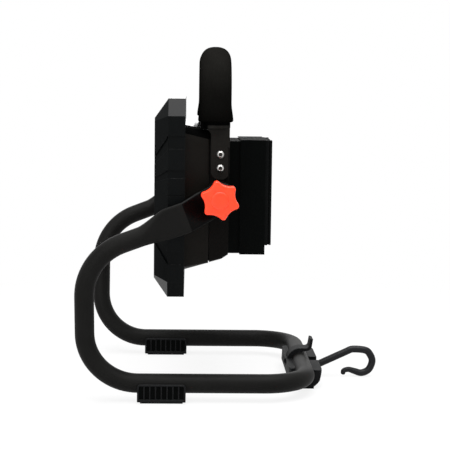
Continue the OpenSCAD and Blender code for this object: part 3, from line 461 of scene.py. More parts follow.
# CAD nodes that keep their mesh
plainNodes = {
    "lens": "glass", "lens_gasket": "gaskets", "reflector": "white", "led_board": "ledBoard",
    "led_chips": "phosphor", "heat_sink": "aluminium", "lead_wires": "wires", "seam_gasket": "gaskets",
    "driver_board": "board", "battery_leads": "wires", "terminal_blades": "brass",
    "switch_body": "terminals", "friction_washers": "gaskets",
}
for node in ("heat_sink_screws", "driver_board_screws", "dock_screws", "pad_screws", "pivot_studs",
             "hook_pin", "clip_pin_rod"):
    plainNodes[node] = "zinc"
for node, finish in plainNodes.items():
    plainMesh = frame["nodes"][node].data
    plainMesh.materials.clear()
    plainMesh.materials.append(finishes[finish])
print("plain nodes:", len(plainNodes))

# Finish, slot and width of the rounded edges in millimetres
softNodes = {
    "front_frame": ("frame", "frame", 0.5),
    "mid_housing": ("housing", "housing", 0.4),
    # the rear housing's finish is darker than the mid housing's: painted shade
    "rear_housing": ("rear", "housing", 0.4),
    "battery_dock": ("dock", "dock", 0.8),
    "rail_plate": ("rails", "rails", 0.4),
    "terminal_block": ("terminals", "terminal_block", 0.3),
    "hook_holder": ("nylon", "nylon", 0.5),
    "clip_strap": ("nylon", "nylon", 0.5),
    "handle_bar": ("strap", "handle_bar", 0.5),
}
for node in ("frame_screws", "housing_screws", "rail_screws", "knob_washer_right", "knob_washer_left"):
    softNodes[node] = ("zinc", "screws", 0.2)


# The housing's long corners are squarer than round, its top is higher and its rear edge fuller. A station is
# y from the tilt axis, the corner's middle as x and height over the housing's middle, and the rise of the top
housing = {
    "power": 5.0, "middle": -3.5, "start": -34.97, "flange": 73.1, "corner": (12.5, 14.2), "slack": 0.05,
    "before": -35.07,
    "sidesFrom": 96.0, "rearFrom": 3.1, "rearTo": 10.0, "rearFill": 5.9, "riseFrom": 52.0, "riseOver": 7.0,
    "stations": ((-35.0, 98.8, 59.0, 3.1), (-20.0, 96.5, 54.9, 3.7), (-10.4, 95.0, 52.3, 3.8),
                 (3.1, 95.0, 48.0, 3.4), (10.0, 88.5, 43.5, 1.5)),
}


# How far a value has come over a stretch, from 0 to 1
def portion(value, start, over):
    return min(1.0, max(0.0, (value - start) / over))


# The values of a table at a place between two of its rows
def between(table, place):
    k = 1
    while k < len(table) - 1 and place > table[k][0]:
        k += 1
    low, high = table[k - 1:k + 1]
    t = portion(place, low[0], high[0] - low[0])
    return [a + (b - a) * t for a, b in zip(low[1:], high[1:])]


def shapeHousing(point):
    y = (point.y - tilt.y) / mm
    height = (point.z - tilt.z) / mm - housing["middle"]
    x, z, side = abs(point.x) / mm, abs(height), copysign(1, height)
    centreX, centreZ, rise = between(housing["stations"], y)
    dx, dz = x - centreX, z - centreZ
    reach = hypot(dx, dz)
    inner, outer = housing["corner"]
    if y < housing["before"] or (y < housing["start"] and (
            z > housing["flange"] or (dx > 0 and dz > 0 and reach > outer))):
        return  # the flange inside the frame stays
    if min(dx, dz) > housing["slack"] and inner < reach < outer:
        power = housing["power"]
        full = ((dx / reach) ** power + (dz / reach) ** power) ** (-1 / power)
        x, z = centreX + dx * full, centreZ + dz * full
    if x > housing["sidesFrom"]:
        x += housing["rearFill"] * portion(y, housing["rearFrom"], housing["rearTo"] - housing["rearFrom"])
    if side > 0:
        z += rise * portion(z, housing["riseFrom"], housing["riseOver"])
    point.x = copysign(x * mm, point.x)
    point.z = tilt.z + (housing["middle"] + side * z) * mm


# The hook's holder is rounded towards its ends, and the clip strap is thicker than its pressed core
holder = {"half": 60.0, "barY": 95.0, "barZ": 19.0, "clear": 11.2, "low": -10.0, "over": 8.0,
          "ends": ((0.0, 0.87), (1.5, 0.92), (3.5, 0.96), (6.0, 0.985), (9.0, 1.0)), "strapExtra": 1.3}


# A point as y and z from the stand's rear bar, and its distance from the bar's middle
def fromBar(point):
    y, z = (point.y - tilt.y) / mm - holder["barY"], point.z / mm - holder["barZ"]
    return y, z, hypot(y, z)


def scaleFromBar(point, y, z, scale):
    point.y = tilt.y + (holder["barY"] + y * scale) * mm
    point.z = (holder["barZ"] + z * scale) * mm


def roundHolder(point):
    y, z, reach = fromBar(point)
    back = holder["half"] - abs(point.x) / mm
    if reach > holder["clear"] and back < holder["ends"][-1][0]:
        scale = max(between(holder["ends"], back)[0], holder["clear"] / reach)
        scaleFromBar(point, y, z, 1 - (1 - scale) * portion(z, holder["low"], holder["over"]))


def thickenStrap(point):
    y, z, reach = fromBar(point)
    if reach > holder["clear"]:
        scaleFromBar(point, y, z, 1 + holder["strapExtra"] / reach)


# The recesses in the frame's sides run on over its bevel, slanted towards the middle. A recess is its lowest
# and highest height where the bevel starts, then at the front
recess = {"bevelIn": 13, "bevelDeep": 14.0, "deep": 2.1, "past": 1.5, "drop": 3.5, "rise": 4.0,
          "bands": ((52.0, 65.5, 36.0, 44.0), (22.5, 30.8, 17.0, 22.0))}


def recesses():
    low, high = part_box("front_frame")
    parts = []
    for sign in (1, -1):
        for up in (1, -1):
            for backLow, backHigh, frontLow, frontHigh in recess["bands"]:
                rings = []
                for t in (0.0, 1.0 + recess["past"] / recess["bevelDeep"]):
                    y = low.y + recess["bevelDeep"] * mm * (1 - t)
                    face = high.x - recess["bevelIn"] * t * mm
                    bottom, top = backLow + (frontLow - backLow) * t, backHigh + (frontHigh - backHigh) * t
                    rings.append([(sign * (face + x * mm), y, tilt.z + (up * z - recess["drop"]) * mm)
                                  for x, z in ((-recess["deep"], bottom), (recess["rise"], bottom),
                                               (recess["rise"], top), (-recess["deep"], top))])
                if sign * up < 0:
                    rings.reverse()
                parts.append(skin(rings))
    return joined(parts)


# Places in millimetres from the tilt axis, and parts of a face's normal. The handle bar's neck is what lies
# above its foot, or above barFrom and before its front
trim = {"level": 0.86, "upper": 48.0, "frameSides": 123.2, "shoulder": 50.0, "shoulderOut": 95.0,
        "barFrom": 59.0, "neckFoot": 72.4, "neckFront": -12.4, "slope": 0.12,
        "facetDown": 0.25, "facetAhead": 0.3, "facetAside": 0.2, "topFacet": 0.25, "topBack": -0.2}
neckFoot, neckFront = tilt.z + trim["neckFoot"] * mm, tilt.y + trim["neckFront"] * mm
moves = {"mid_housing": shapeHousing, "rear_housing": shapeHousing, "hook_holder": roundHolder,
         "clip_strap": thickenStrap}
cuts = {
    "handle_bar": (((0, 0, neckFoot), (0, 0, 1)), ((0, neckFront, 0), (0, 1, 0))),
    "hook_holder": [((sign * (holder["half"] - back) * mm, 0, 0), (1, 0, 0))
                    for back, _ in reversed(holder["ends"][1:]) for sign in (1, -1)],
}
softPieces = {node: softened(node, finish, slot, width, move=moves.get(node), cuts=cuts.get(node, ()),
                             grooves=recesses() if node == "front_frame" else None)
              for node, (finish, slot, width) in softNodes.items()}
print("rounded nodes:", len(softNodes))


def upperFace(middle, normal):
    return normal.z > trim["level"] and middle.z > tilt.z + trim["upper"] * mm


def shoulderFace(middle, normal):
    return (middle.z > tilt.z + trim["shoulder"] * mm and abs(middle.x) > trim["shoulderOut"] * mm
            and trim["slope"] < normal.z < trim["level"])


def cornerFacet(middle, normal):
    return (normal.y < -trim["facetAhead"] and normal.z < -trim["facetDown"]
            and abs(normal.x) > trim["facetAside"])


def topFacet(middle, normal):
    return min(normal.z, abs(normal.x)) > trim["topFacet"] and normal.y > trim["topBack"]


def neckFace(middle, normal):
    return middle.z > neckFoot or (middle.z > tilt.z + trim["barFrom"] * mm and middle.y < neckFront)


# The frame's corner facets and the upper faces are smoother than the sides and a little paler; on the facets
# the paleness is painted light, with a painted reflection of the floor on the lower facets. The housing's
# shoulders and the handle bar's neck get a dull black that is painted shade, and the dock's upper faces are
# dull and darker
frontFrame = softPieces["front_frame"]
trimmed(frontFrame, "facet", cornerFacet)
trimmed(frontFrame, "topFacet", topFacet)
trimmed(frontFrame, "tops",
        lambda middle, normal: normal.z > trim["level"] and abs(middle.x) > trim["frameSides"] * mm)
# the housing's shoulders under its top edge: painted shade
trimmed(softPieces["mid_housing"], "neck", shoulderFace)
for node in ("front_frame", "mid_housing", "rear_housing"):
    trimmed(softPieces[node], "tops", upperFace)
# the dock's and rail plate's upper faces: dull and darker
for node in ("battery_dock", "rail_plate"):
    trimmed(softPieces[node], "neck", upperFace)
# the neck under the grip's collar and its recessed front: painted shade
trimmed(softPieces["handle_bar"], "neck", neckFace)


# The bent tube: one skin from the left arm's end round to the right arm's end

tube = {
    "radius": 10.0, "lean": 9.2, "runHeight": 19.0, "baseX": 118.442, "uprightY": 135.5, "barY": 95.0,
    "lowerBend": 54.0, "upperBend": 61.0, "rearBend": 46.0, "armRise": 21.0, "armDrop": 8.5,
    "flatFrom": 78.0, "flatTo": 50.0, "flatLift": 3.0, "crease": 33.0, "bendTo": 14.0, "flatThick": 4.0,
    "flatWide": 32.0, "plateX": 134.0, "ease": 0.55, "endAngle": 84,
    "around": 48, "barSteps": 9, "bendSteps": 20, "runSteps": 8, "uprightSteps": 6, "armSteps": 4,
    "flatSteps": 16, "endSteps": 12,
}


class Station:
    def __init__(self, point, along, wide, half=None, shrink=1.0, crisp=False):
        self.point = Vector(point)
        self.along = Vector(along).normalized()
        self.wide = Vector(wide).normalized()
        self.half = half  # half thickness where the tube is pressed
        self.shrink = shrink  # its width against that of the pressed tube
        self.crisp = crisp  # a sharp fold across the tube

    def mirrored(self):
        flip = Vector((-1, 1, 1))
        return Station(self.point * flip, -(self.along * flip), self.wide * flip, self.half, self.shrink,
                       self.crisp)

    # A stadium whose outline keeps the round tube's length
    def ring(self, radius, count):
        half = self.half or radius
        flat = max(0.0, (radius - half) * pi / 2)
        across = self.along.cross(self.wide).normalized()
        quarter = pi * half / 2
        halfway = 2 * (flat + quarter)
        result = []
        for j in range(count):
            run = 2 * halfway * j / count
            far = run >= halfway
            if far:
                run -= halfway
            if run < quarter:
                a = run / half
                u, v = flat + half * cos(a), half * sin(a)
            elif run < quarter + 2 * flat:
                u, v = flat - (run - quarter), half
            else:
                a = (run - quarter - 2 * flat) / half
                u, v = -flat - half * sin(a), half * cos(a)
            if far:
                u, v = -u, -v
            result.append(self.point + self.wide * (u * self.shrink * mm) + across * (v * mm))
        return result


def tubeStations():
    stations = []
    steps, radius = tube["bendSteps"], tube["radius"]
    rearBend, lowerBend, upperBend, uprightY, flatFrom = (
        tube[key] for key in ("rearBend", "lowerBend", "upperBend", "uprightY", "flatFrom"))
    lean = radians(tube["lean"])
    rise = radians(tube["armRise"])
    up = Vector((sin(lean), 0, cos(lean)))
    back = Vector((0, 1, 0))
    base = Vector((tube["baseX"] * mm, tilt.y, tube["runHeight"] * mm))

    def inLoop(y, s):
        return base + back * (y * mm) + up * (s * mm)

    def add(*station):
        stations.append(Station(*station))

    rear = tube["barY"] - rearBend
    turn = Vector((base.x - rearBend * mm, base.y + rear * mm, base.z))
    sky = Vector((0, 0, 1))
    for t in fractions(tube["barSteps"], 0, 1):  # rear bar, from the middle
        add((turn.x * t, turn.y + rearBend * mm, base.z), (1, 0, 0), sky)
    for t in fractions(steps):
        a = pi / 2 * (1 - t)
        spoke = Vector((cos(a), sin(a), 0))
        add(turn + spoke * (rearBend * mm), (sin(a), -cos(a), 0), sky)
    lowY = -uprightY + lowerBend
    for t in fractions(tube["runSteps"], 1, 1):  # bottom run
        add(inLoop(rear + (lowY - rear) * t, 0), -back, sky.lerp(up, t))

    def bend(centreY, centreS, size, start, stop):
        for t in fractions(steps):
            a = start + (stop - start) * t
            point = inLoop(centreY + size * cos(a), centreS + size * sin(a))
            along = back * sin(a) - up * cos(a)
            add(point, along, -(back * cos(a) + up * sin(a)))

    bend(lowY, lowerBend, lowerBend, 1.5 * pi, pi)
    armTop = (tilt.z / mm - tube["armDrop"] - tube["runHeight"]) / cos(lean)
    corner = armTop - uprightY * tan(rise)
    topY = -uprightY + upperBend
    topS = corner - upperBend * tan((pi / 2 - rise) / 2)
    for t in fractions(tube["uprightSteps"], 1, 1):  # upright
        add(inLoop(-uprightY, lowerBend + (topS - lowerBend) * t), up, back)
    bend(topY, topS, upperBend, pi, pi / 2 + rise)

    # the arm: round, then pressed flat, then stepped inwards to the plate
    armAlong = back * cos(rise) + up * sin(rise)
    armWide = up * cos(rise) - back * sin(rise)
    armStart = topY + upperBend * cos(pi / 2 + rise)

    def onArm(y):
        return inLoop(y, armTop + y * tan(rise))

    for t in fractions(tube["armSteps"], 1, 1):
        add(onArm(armStart + (-flatFrom - armStart) * t), armAlong, -armWide)
    thin = tube["flatThick"] / 2
    grow = tube["flatWide"] / (2 * thin + (radius - thin) * pi)
    lift = up * (tube["flatLift"] * mm)
    for t in fractions(tube["flatSteps"]):
        ease = t * t * (3 - 2 * t) * tube["ease"] + t * (1 - tube["ease"])
        y = -flatFrom + (flatFrom - tube["flatTo"]) * t
        add(onArm(y) + lift * ease, armAlong, -armWide, radius + (thin - radius) * ease,
            1 + (grow - 1) * ease)
    plateMiddle = fromTilt(tube["plateX"], 0, 0)
    flatEnd, crease = onArm(-tube["flatTo"]) + lift, onArm(-tube["crease"]) + lift
    plateAlong = Vector((0, tilt.y - crease.y, tilt.z - crease.z)).normalized()
    plateStart = plateMiddle - plateAlong * (tube["bendTo"] * mm / plateAlong.y)
    plateWide = Vector((0, -plateAlong.z, plateAlong.y))
    stepAlong = (plateStart - crease).normalized()

    def pressed(start, end, along, fromWide, toWide, *shares):
        for t in shares:
            add(start.lerp(end, t), along, -fromWide.lerp(toWide, t), thin, grow)

    pressed(flatEnd, crease, armAlong, armWide, armWide, 0.3, 0.6, 0.85, 0.96)
    pressed(crease, plateStart, (armAlong + stepAlong) / 2, armWide, plateWide, 0.0)
    stations[-1].crisp = True
    pressed(crease, plateStart, stepAlong, armWide, plateWide, 0.05, 0.2, 0.4, 0.6, 0.8, 0.92)
    pressed(plateStart, plateMiddle, plateAlong, plateWide, plateWide, 0.05, 0.2, 0.5, 0.8)
    for t in fractions(tube["endSteps"]):  # round end
        a = radians(tube["endAngle"]) * t
        reach = tube["flatWide"] / 2 * sin(a) * mm
        add(plateMiddle + plateAlong * reach, plateAlong, -plateWide, thin, cos(a) * grow)
    return stations


half = tubeStations()
whole = [station.mirrored() for station in reversed(half[1:])] + half
rings = [station.ring(tube["radius"], tube["around"]) for station in whole]
bentTube = addPiece("bentTube", *skin(rings), "tube", "stand", "tube", ("stand_tube",), 50)
folds = {i for i, station in enumerate(whole) if station.crisp}
for edge in bentTube.data.edges:
    start, end = (vertex // tube["around"] for vertex in edge.vertices)
    if start == end and start in folds:
        edge.use_edge_sharp = True
bentTube.data.materials.append(finishes["armEnd"])
for face in bentTube.data.polygons:  # beyond the fold the pressed ends are darker: painted shade
    ringsOfFace = [vertex // tube["around"] for vertex in face.vertices]
    if min(ringsOfFace) >= max(folds) or max(ringsOfFace) <= min(folds):
        face.material_index = 1
print("bent tube:", len(rings), "rings")


# The foot pads: a rubber shoe under each bottom run, with a ribbed face on both sides

pad = {
    "baseX": 118.442, "middleY": -57.0, "halfLong": 24.9, "halfWide": 13.0, "top": 20.3, "bottom": 1.8,
    "round": 3.6, "chamfer": 0.6, "rim": 2.0, "band": 2.8, "sunk": 2.0, "step": 0.5, "slope": 0.4,
    "wall": 0.3, "ribs": 7, "pitch": 5.9, "ribWide": 1.3, "ribIn": 0.2, "ribOver": 0.5, "ribBevel": 0.25,
    "shoeIn": 0.7, "treadLong": 21.8, "treadIn": 0.8, "treadBevel": 0.4, "channel": 10.1, "run": 19.0,
    "channelSteps": 24, "blockRound": (0.3, 0.3, 2),
}


def roundedOutline(halfLong, low, high, lowRound, highRound, steps=6):
    outline = []
    for sign, middleZ, radius, start in ((1, high, highRound, 0), (-1, high, highRound, 90),
                                         (-1, low, lowRound, 180), (1, low, lowRound, 270)):
        centreY = sign * (halfLong - radius)
        centreZ = middleZ - radius if start < 180 else middleZ + radius
        for t in fractions(steps):
            a = radians(start + 90 * t)
            outline.append((centreY + radius * cos(a), centreZ + radius * sin(a)))
    return outline


def footPad(sign):
    low, high, rim, band, slope = (pad[key] for key in ("bottom", "top", "rim", "band", "slope"))
    inner = pad["halfWide"] - pad["sunk"]
    parts = []

    def at(x, y, z):
        return Vector((sign * (pad["baseX"] + x) * mm, tilt.y + (pad["middleY"] + y) * mm, z * mm))

    def addBlock(x0, x1, y0, y1, z0, z1, bevel):
        rings = []
        for x, inset in ((x0, bevel), (x0 + bevel, 0), (x1 - bevel, 0), (x1, bevel)):
            row = roundedOutline((y1 - y0) / 2 - inset, z0 + inset, z1 - inset, *pad["blockRound"])
            rings.append([at(x, y + (y0 + y1) / 2, z) for y, z in row])
        parts.append(skin(rings))

    # the side's own outline, set back at its ends and top, and raised at its foot
    def outline(back, raised, lowRound, highRound):
        return roundedOutline(pad["halfLong"] - back, low + raised, high - back, lowRound, highRound)

    # the shoe itself, with its channel for the tube
    chamfer = pad["chamfer"]
    lip = high - chamfer
    section = [(-inner, low + chamfer), (-inner + chamfer, low), (inner - chamfer, low),
               (inner, low + chamfer), (inner, lip)]
    start = asin((lip - pad["run"]) / pad["channel"])
    for t in fractions(pad["channelSteps"]):
        a = start - (pi + 2 * start) * t
        section.append((pad["channel"] * cos(a), pad["run"] + pad["channel"] * sin(a)))
    section.append((-inner, lip))
    half = pad["halfLong"] - pad["shoeIn"]
    parts.append(skin([[at(x, y, z) for x, z in section] for y in (-half, -half / 2, 0, half / 2, half)]))
    for face in (1, -1):
        back, front = face * (inner - pad["wall"]), face * pad["halfWide"]
        step = face * pad["step"]
        outer = outline(0, 0, 0.8, pad["round"])
        outerSmall = outline(pad["step"], pad["step"], 0.4, pad["round"] - pad["step"])
        hole = outline(rim, band, 0.5, 1.2)
        holeLarge = outline(rim - slope, band - slope, 0.6, 1.5)
        rings = [[at(x, y, z) for y, z in line] for x, line in (
            (back, outer), (front - step, outer), (front, outerSmall), (front, holeLarge),
            (front - step, hole), (back, hole))]
        points, faces = skin(rings, caps=False)
        count, last = len(outer), len(points) - len(outer)
        faces += [(last + j, last + (j + 1) % count, (j + 1) % count, j) for j in range(count)]
        parts.append((points, faces))
        for k in range(pad["ribs"]):
            middle = (k - (pad["ribs"] - 1) / 2) * pad["pitch"]
            x0, x1 = sorted((back, front - face * pad["ribIn"]))
            addBlock(x0, x1, middle - pad["ribWide"] / 2, middle + pad["ribWide"] / 2,
                     low + band - pad["ribOver"], high - rim + pad["ribOver"], pad["ribBevel"])
    tread, bevel = inner - pad["treadIn"], pad["treadBevel"]
    addBlock(-tread, tread, -pad["treadLong"], pad["treadLong"], 0.0, low + bevel, bevel)
    return joined(parts)


# The floor of a pad's ribbed face, which gets the dock's darker colour as painted shade
def sunkFace(middle, normal):
    inside = pad["halfWide"] - pad["sunk"] + 0.05
    return abs(normal.x) > 0.9 and abs(abs(middle.x) / mm - pad["baseX"]) < inside


for side, sign in (("right", 1), ("left", -1)):
    ribbedPad = addPiece("ribbedPad" + side.capitalize(), *footPad(sign), "pads", "stand", "pads",
                         ("foot_pad_" + side,), 35)
    # pocket floors darker than the ribs: painted shade
    trimmed(ribbedPad, "dock", sunkFace)
print("foot pads made")


# The hanging hook: a rod bent in one plane, with an eye at its pin

# A bend is y from the tilt axis, z from the floor, and the rod's radius there. The eye's profile is distance
# along the pin and radius
hook = {
    "bends": ((148.2, 28.9, 4.0), (155.0, 31.3, 4.0), (168.6, 30.2, 4.0), (174.0, 25.8, 4.0),
              (176.9, 17.8, 4.0), (173.2, 8.2, 4.0), (165.1, 4.3, 3.9), (156.8, 6.3, 3.5),
              (150.4, 8.0, 3.0), (145.2, 6.6, 2.8), (144.4, 3.9, 2.6)),
    "eye": ((-8, 1.6), (-8, 3.7), (-7.8, 4.1), (-7.3, 4.4), (7.3, 4.4), (7.8, 4.1), (8, 3.7), (8, 1.6)),
    "shankSteps": 8, "steps": 6, "around": 32, "tip": 0.7, "tipSteps": 6, "tipFull": 6.3,
}
hookPin = Vector(joints["hook_swing"]["pos_m"])


def hookPath():
    knots = [(Vector((0, tilt.y + y * mm, z * mm)), radius) for y, z, radius in hook["bends"]]
    path = [hookPin.lerp(knots[0][0], t) for t in fractions(hook["shankSteps"], 0, 1)]
    radii = [knots[0][1]] * len(path)
    ends = [(path[-1], radii[-1])] + knots + [(knots[-1][0] * 2 - knots[-2][0], knots[-1][1])]
    for k in range(1, len(ends) - 2):  # a smooth curve through the bends
        (a, _), (b, startRadius), (c, endRadius), (d, _) = ends[k - 1:k + 3]
        for t in fractions(hook["steps"], 0, 1):
            path.append(0.5 * (2 * b + (c - a) * t + (2 * a - 5 * b + 4 * c - d) * t ** 2
                               + (3 * b - a - 3 * c + d) * t ** 3))
            radii.append(startRadius + (endRadius - startRadius) * t)
    tipEnd, tipRadius = knots[-1]
    path.append(tipEnd)
    radii.append(tipRadius)
    out = (path[-1] - path[-2]).normalized()
    for step in range(1, hook["tipSteps"] + 1):  # rounded end
        a = pi / 2 * step / hook["tipFull"]
        path.append(tipEnd + out * (tipRadius * hook["tip"] * sin(a) * mm))
        radii.append(tipRadius * cos(a) ** hook["tip"])
    return path, radii


def rodRings(path, radii, across, steps):
    rings = []
    for i, point in enumerate(path):
        along = (path[min(i + 1, len(path) - 1)] - path[max(i - 1, 0)]).normalized()
        side = across.cross(along).normalized()
        rings.append(ringAbout(point, across, side, radii[i], steps))
    return rings


rod = skin(rodRings(*hookPath(), Vector((1, 0, 0)), hook["around"]))
eye = turned(hookPin, (1, 0, 0), hook["eye"])
addPiece("hangingHook", *joined([rod, eye]), "hook", "hook", "hook", ("hook",), 40)
print("hook made")


# The padded grip: a U of soft rubber with a flare at each lower end

grip = {
    "radius": 16.0, "square": 2.4, "flare": 18.0, "flareRun": 20.0, "bend": 32.0, "rise": 136.0, "foot": 75.5,
    "legX": 105.0, "offset": -4.2, "lipRadius": 2.2, "bore": 7.3,
    "around": 64, "topSteps": 10, "bendSteps": 24, "lipSteps": 8,
}


# A little squarer than round
def gripSection(angle):
    power = grip["square"]
    return (abs(cos(angle)) ** power + abs(sin(angle)) ** power) ** (-1 / power)


def gripRings():
    centre = tilt + Vector((0, grip["offset"] * mm, 0))
    steps, lip, legX, top, foot, bend, thick, flare, flareRun = (grip[key] for key in (
        "bendSteps", "lipRadius", "legX", "rise", "foot", "bend", "radius", "flare", "flareRun"))
    bendX, bendZ = legX - bend, top - bend
    # right half, from the top middle down: x, z, the direction's x and z, and the radius
    side = [(bendX * t, top, 1, 0, thick) for t in fractions(grip["topSteps"], 0, 1)]
    for t in fractions(steps):
        a = pi / 2 * (1 - t)
        side.append((bendX + bend * cos(a), bendZ + bend * sin(a), sin(a), -cos(a), thick))
    run = bendZ - foot
    for t in fractions(steps, 1):
        down = (run - lip) * t
        wider = max(0.0, (down - (run - flareRun)) / flareRun)
        side.append((legX, bendZ - down, 0, -1, thick + (flare - thick) * wider * wider * (3 - 2 * wider)))
    for t in fractions(grip["lipSteps"], 1):
        a = pi / 2 * t
        side.append((legX, foot + lip * (1 - sin(a)), 0, -1, flare - lip * (1 - cos(a))))
    side.append((legX, foot, 0, -1, grip["bore"]))
    rings = []
    across = Vector((0, 1, 0))
    mirrored = [(-x, z, alongX, -alongZ, radius) for x, z, alongX, alongZ, radius in reversed(side[1:])]
    for x, z, alongX, alongZ, radius in mirrored + side:
        other = Vector((alongX, 0, alongZ)).normalized().cross(across)
        rings.append(ringAbout(centre + Vector((x * mm, 0, z * mm)), across, other,
                               lambda a: radius * gripSection(a), grip["around"]))
    return rings


addPiece("paddedGrip", *skin(gripRings()), "foam", "head", "grip", ("handle_grip",), 60)
print("grip made")


# The star knobs

knob = {
    "tipRadius": 19.5, "root": 0.79, "tips": 6, "tipHalf": 5.0, "firstTip": 42.0, "rounding": 5,
    "thick": 15.0, "hub": 10.0, "hubRadius": 10.0, "hubBore": 4.1, "start": 137.5, "edge": 1.6,
    "edgeSteps": 5, "padRadius": 8.8, "around": 240, "backHole": 0.55,
    # how far the star has closed in to the raised pad and its rise there, then the pad's share of its radius
    "closing": ((0.35, 0.12), (0.7, 0.2), (0.9, 0.22), (1.0, 0.24)),
    "pad": ((0.97, 0.5), (0.93, 0.85), (0.86, 1.0), (0.5, 1.1), (0.2, 1.14), (0.05, 1.15)),
}


def knobOutline(angle):
    period = 2 * pi / knob["tips"]
    tip, root = knob["tipRadius"], knob["tipRadius"] * knob["root"]
    gap = period / 2 - radians(knob["tipHalf"])
    scallopAt = (tip * tip - root * root) / (2 * (tip * cos(gap) - root))
    scallop = scallopAt - root
    phase = (angle - radians(knob["firstTip"])) % period - period / 2  # 0 in the middle of a scallop
    reach = scallopAt * sin(abs(phase))
    if reach < scallop:
        return min(tip, scallopAt * cos(phase) - sqrt(scallop ** 2 - reach ** 2))
    return tip


def starKnob(sign):
    count, steps, edge = knob["around"], knob["edgeSteps"], knob["edge"]
    angles = [2 * pi * j / count for j in range(count)]
    raw = [knobOutline(a) for a in angles]
    for _ in range(knob["rounding"]):
        raw = [(raw[j - 1] + 2 * raw[j] + raw[(j + 1) % count]) / 4 for j in range(count)]
    rings = []

    def addRing(x, radii):
        rings.append([fromTilt(sign * x, radius * cos(a), radius * sin(a))
                      for radius, a in zip(radii, angles)])

    def addStar(x, scale, blend=0.0):
        addRing(x, [radius * scale * (1 - blend) + knob["padRadius"] * blend for radius in raw])

    back = knob["start"] + knob["hub"] - 1
    front = back + knob["thick"]
    inset = edge / knob["tipRadius"]
    addStar(back, knob["backHole"])
    addStar(back, 1 - inset)
    for t in fractions(steps, 1):
        a = pi / 2 * t
        addStar(back + edge * (1 - cos(a)), 1 - inset * (1 - sin(a)))
    for t in fractions(steps):
        a = pi / 2 * t
        addStar(front - edge * (1 - sin(a)), 1 - inset * (1 - cos(a)))
    for blend, lift in knob["closing"]:
        addStar(front + lift, 1 - inset, blend)
    for scale, lift in knob["pad"]:
        addRing(front + lift, [knob["padRadius"] * scale] * count)
    start, radius = knob["start"], knob["hubRadius"]
    hub = turned(fromTilt(0, 0, 0), (sign, 0, 0), [
        (start, knob["hubBore"]), (start, radius - 0.6), (start + 0.6, radius), (back - 1.2, radius),
        (back - 0.3, radius + 0.5), (back + 0.5, radius + 1.4)])
    return joined([skin(rings), hub])


for side, sign in (("right", 1), ("left", -1)):
    body = "knob_" + side
    addPiece("starKnob" + side.capitalize(), *starKnob(sign), "knob", body, "knobs", (body,), 42)
print("knobs made")


# Button-head screws of the handle's straps

# The dome is the height over the seat and how much less the radius is there
screw = {
    "head": 4.2, "shank": 2.0, "shankLong": 13, "socket": 2.1, "socketDepth": 1.9, "seat": 113.5, "top": 2.6,
    "rows": (28.9, 42.9), "offset": 0.8, "around": 48,
    "dome": ((0, 0.3), (0.25, 0), (0.6, 0.02), (1.1, 0.25), (1.6, 0.65), (2.1, 1.15), (2.45, 1.6),
             (2.6, 1.95)),
}


def buttonScrew(origin, sign):
    rings = []

    def addRing(distance, reach):
        middle = origin + Vector((sign * distance * mm, 0, 0))
        rings.append(ringAbout(middle, Vector((0, 1, 0)), Vector((0, 0, 1)), reach, screw["around"]))

    def addHexagon(distance, size):
        sixth = pi / 3
        addRing(distance, lambda a: size * cos(sixth / 2) / cos(a % sixth - sixth / 2))

    addRing(-screw["shankLong"], screw["shank"])
    addRing(0, screw["shank"])
    for distance, less in screw["dome"]:
        addRing(distance, screw["head"] - less)
    addHexagon(screw["top"] + 0.02, screw["socket"] + 0.15)
    addHexagon(screw["top"] - 0.1, screw["socket"])
    addHexagon(screw["top"] - screw["socketDepth"], screw["socket"])
    return skin(rings)


screws = []
for sign in (1, -1):
    for row in screw["rows"]:
        screws.append(buttonScrew(fromTilt(sign * screw["seat"], screw["offset"], row), sign))
strapScrews = addPiece("strapScrews", *joined(screws), "zinc", "head", "screws", ("handle_screws",), 35)


# The walls and floor of a screw's socket
def socketFace(middle, normal):
    depth = abs(middle.x) / mm - screw["seat"]
    aside = min(hypot(middle.y - tilt.y - screw["offset"] * mm, middle.z - tilt.z - row * mm)
                for row in screw["rows"])
    return 0.5 < depth < screw["top"] - 0.05 and aside < (screw["socket"] + 0.1) * mm


trimmed(strapScrews, "socket", socketFace)
print("strap screws made")


# The power button: a flange, and a cap with a dish in its top

button = {"radius": 8.0, "flange": 10.0, "flangeThick": 2.0}


def buttonProfile(tall):
    radius, flange, thick = button["radius"], button["flange"], button["flangeThick"]
    profile = [(0, 2), (0, flange - 0.3), (0.3, flange), (thick - 0.3, flange), (thick, flange - 0.3),
               (thick + 0.1, radius + 0.3), (thick + 0.3, radius)]
    for below, less in ((1.6, 0), (0.9, 0.2), (0.4, 0.7), (0.1, 1.4), (0, 2.0), (0.15, 2.5), (0.55, 2.9),
                        (0.75, 3.6), (0.8, 6.0), (0.8, 7.8)):
        profile.append((tall - below, radius - less))
    return profile


low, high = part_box("power_button")
buttonBase = Vector(((low.x + high.x) / 2, (low.y + high.y) / 2, low.z))
addPiece("powerButton", *turned(buttonBase, (0, 0, 1), buttonProfile((high.z - low.z) / mm)),
         "switch", "power_button", "button", ("power_button",), 50)


# Studio: pale floor, white surroundings, soft lamps

studio = {
    "floor": 12.0, "ambient": 0.35, "shadowNear": (0.25, 0.86), "shadowGone": (0.7, 1.0),
    # each lamp's place, what it points at, its size in metres and its watts
    "lamps": {
        "lampTop": ((0.3, 0.0, 1.6), (0, 0, 0.15), (1.6, 1.6), 52.0),
        "lampFront": ((1.6, -0.9, 0.7), (0, 0, 0.2), (1.0, 1.2), 10.0),
        "lampBack": ((1.2, 1.3, 0.8), (0, 0, 0.2), (1.0, 1.2), 2.5),
        "lampRim": ((-1.9, 0.1, 0.75), (0, 0, 0.25), (2.0, 0.8), 7.0),
    },
}


